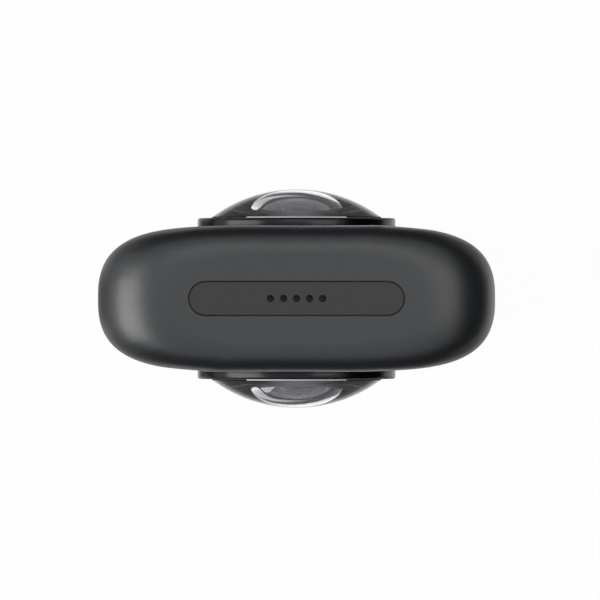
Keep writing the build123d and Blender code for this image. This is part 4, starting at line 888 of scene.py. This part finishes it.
def onlyInGloss(plane):
    # A card shapes what shiny surfaces mirror. Nothing else sees it, and it throws no shadow.
    plane.visible_camera = plane.visible_diffuse = plane.visible_transmission = False
    plane.visible_shadow = False


def flockedCard(name, tone=None):
    # Black flock on card: it has no sheen, and glows by itself where it is given a tone
    material, shader, place = newMaterial(name, studio["flock"], 1.0, Specular_IOR_Level=0.0)
    if tone:
        shader.inputs["Emission Color"].default_value = hexColor(tone)
    return material, shader, place


def makeCards():
    # Upright cards darken the edges that would mirror the horizon
    material = flockedCard("blackFlockedCard")[0]
    for name, card in cards.items():
        half, top = card["half"], card["top"]
        outline = [(-half, 0), (half, 0), (half, top), (-half, top)]
        if "x" in card:
            corners = [(card["x"], along, level) for along, level in outline]
        else:
            corners = [(along, card["y"], level) for along, level in outline]
        onlyInGloss(stagePlane(name, corners, material))


def makeGraduatedCards():
    # Printed card that fades from pale to dark away from the object, for the glass to mirror from below
    material, shader, place = flockedCard("graduatedCard", studio["white"])
    split = addNode(material, "ShaderNodeSeparateXYZ", links={"Vector": place})
    away = addNode(material, "ShaderNodeMath", links={0: split.outputs["Y"]}, operation="ABSOLUTE")
    fade = addNode(material, "ShaderNodeMapRange",
                   {"From Min": graduated["paleTo"], "From Max": graduated["darkFrom"],
                    "To Min": graduated["pale"], "To Max": graduated["dark"]},
                   {"Value": away.outputs["Value"]})
    material.node_tree.links.new(fade.outputs["Result"], shader.inputs["Emission Strength"])
    half, lift = graduated["half"], studio["cardLift"]
    for side, word in ((-1, "front"), (1, "rear")):
        near, far = side * graduated["near"], side * graduated["far"]
        corners = [(-half, near, lift), (half, near, lift), (half, far, lift), (-half, far, lift)]
        onlyInGloss(stagePlane(word + "GraduatedCard", corners, material))
    grey, shader = flockedCard("greyCard", studio["white"])[:2]
    shader.inputs["Emission Strength"].default_value = graduated["side"]
    near, far, half = -graduated["sideNear"], -graduated["sideFar"], graduated["sideHalf"]
    corners = [(near, -half, lift), (near, half, lift), (far, half, lift), (far, -half, lift)]
    onlyInGloss(stagePlane("leftGreyCard", corners, grey))


def makeStrips():
    # A band about a middle line: each point moved by its half width in and out along y. Its mesh carries the
    # level of the glow at each point.
    for name, one in strips.items():
        x, y, half = np.array(one["x"]), np.array(one["y"]), np.array(one["half"])
        material, shader = flockedCard(name + "Card", one["tone"])[:2]
        level = addNode(material, "ShaderNodeAttribute", attribute_name="level")
        material.node_tree.links.new(level.outputs["Fac"], shader.inputs["Emission Strength"])
        n = np.arange(len(x) - 1)
        faces = np.stack([n, n + 1, n + 1 + len(x), n + len(x)], -1).tolist()
        for side, word in ((-1, "front"), (1, "rear")):
            edges = side * np.concatenate([y + half, y - half])
            lift = np.full(len(edges), studio["stripLift"])
            points = np.column_stack([np.tile(x, 2), edges, lift]).tolist()
            plane = stagePlane(word + name, points, material, faces)
            plane.data.attributes.new("level", "FLOAT", "POINT").data.foreach_set("value", one["level"] * 2)
            onlyInGloss(plane)


def makeWorld():
    # White to the eye, in gloss and through the glass, and a softer even light on the object
    world = bpy.data.worlds.new("studioWorld")
    bpy.context.scene.world = world
    world.use_nodes = True
    world.node_tree.nodes.clear()
    seen = whiteToTheEye(world)
    level = addNode(world, "ShaderNodeMapRange", {"To Min": studio["ambient"], "To Max": 1.0},
                    {"Value": seen.outputs["Value"]})
    glow = addNode(world, "ShaderNodeBackground", {"Color": hexColor(studio["white"])},
                   {"Strength": level.outputs["Result"]})
    addNode(world, "ShaderNodeOutputWorld", links={"Surface": glow.outputs["Background"]})


def makeLamps():
    # Large soft boxes, each turned so that its face looks at its aim, and hidden from the camera
    for name, lamp in lamps.items():
        data = bpy.data.lights.new(name, "AREA")
        data.shape = "RECTANGLE"
        data.size, data.size_y = lamp["size"]
        data.energy = lamp["power"]
        light = bpy.data.objects.new(name, data)
        bpy.context.scene.collection.objects.link(light)
        light.location = lamp["place"]
        toAim = Vector(lamp["aim"]) - Vector(lamp["place"])
        light.rotation_euler = toAim.to_track_quat("-Z", "Y").to_euler()
        light.visible_camera = False


def makeCamera():
    # Straight above the top end through a long lens, as in the photograph
    data = bpy.data.cameras.new("cameraAbove")
    data.sensor_width = studio["sensor"]
    data.lens = studio["sensor"] * studio["cameraReach"] / studio["frameWidth"]
    data.clip_end = studio["clip"]
    camera = bpy.data.objects.new("cameraAbove", data)
    bpy.context.scene.collection.objects.link(camera)
    camera.location = (*studio["centre"], cadBox[1][2] + studio["cameraReach"])
    bpy.context.scene.camera = camera


makeFloor()
makeCards()
makeGraduatedCards()
makeStrips()
makeWorld()
makeLamps()
makeCamera()
bpy.context.scene.view_settings.view_transform = "Standard"
print("studio ready")
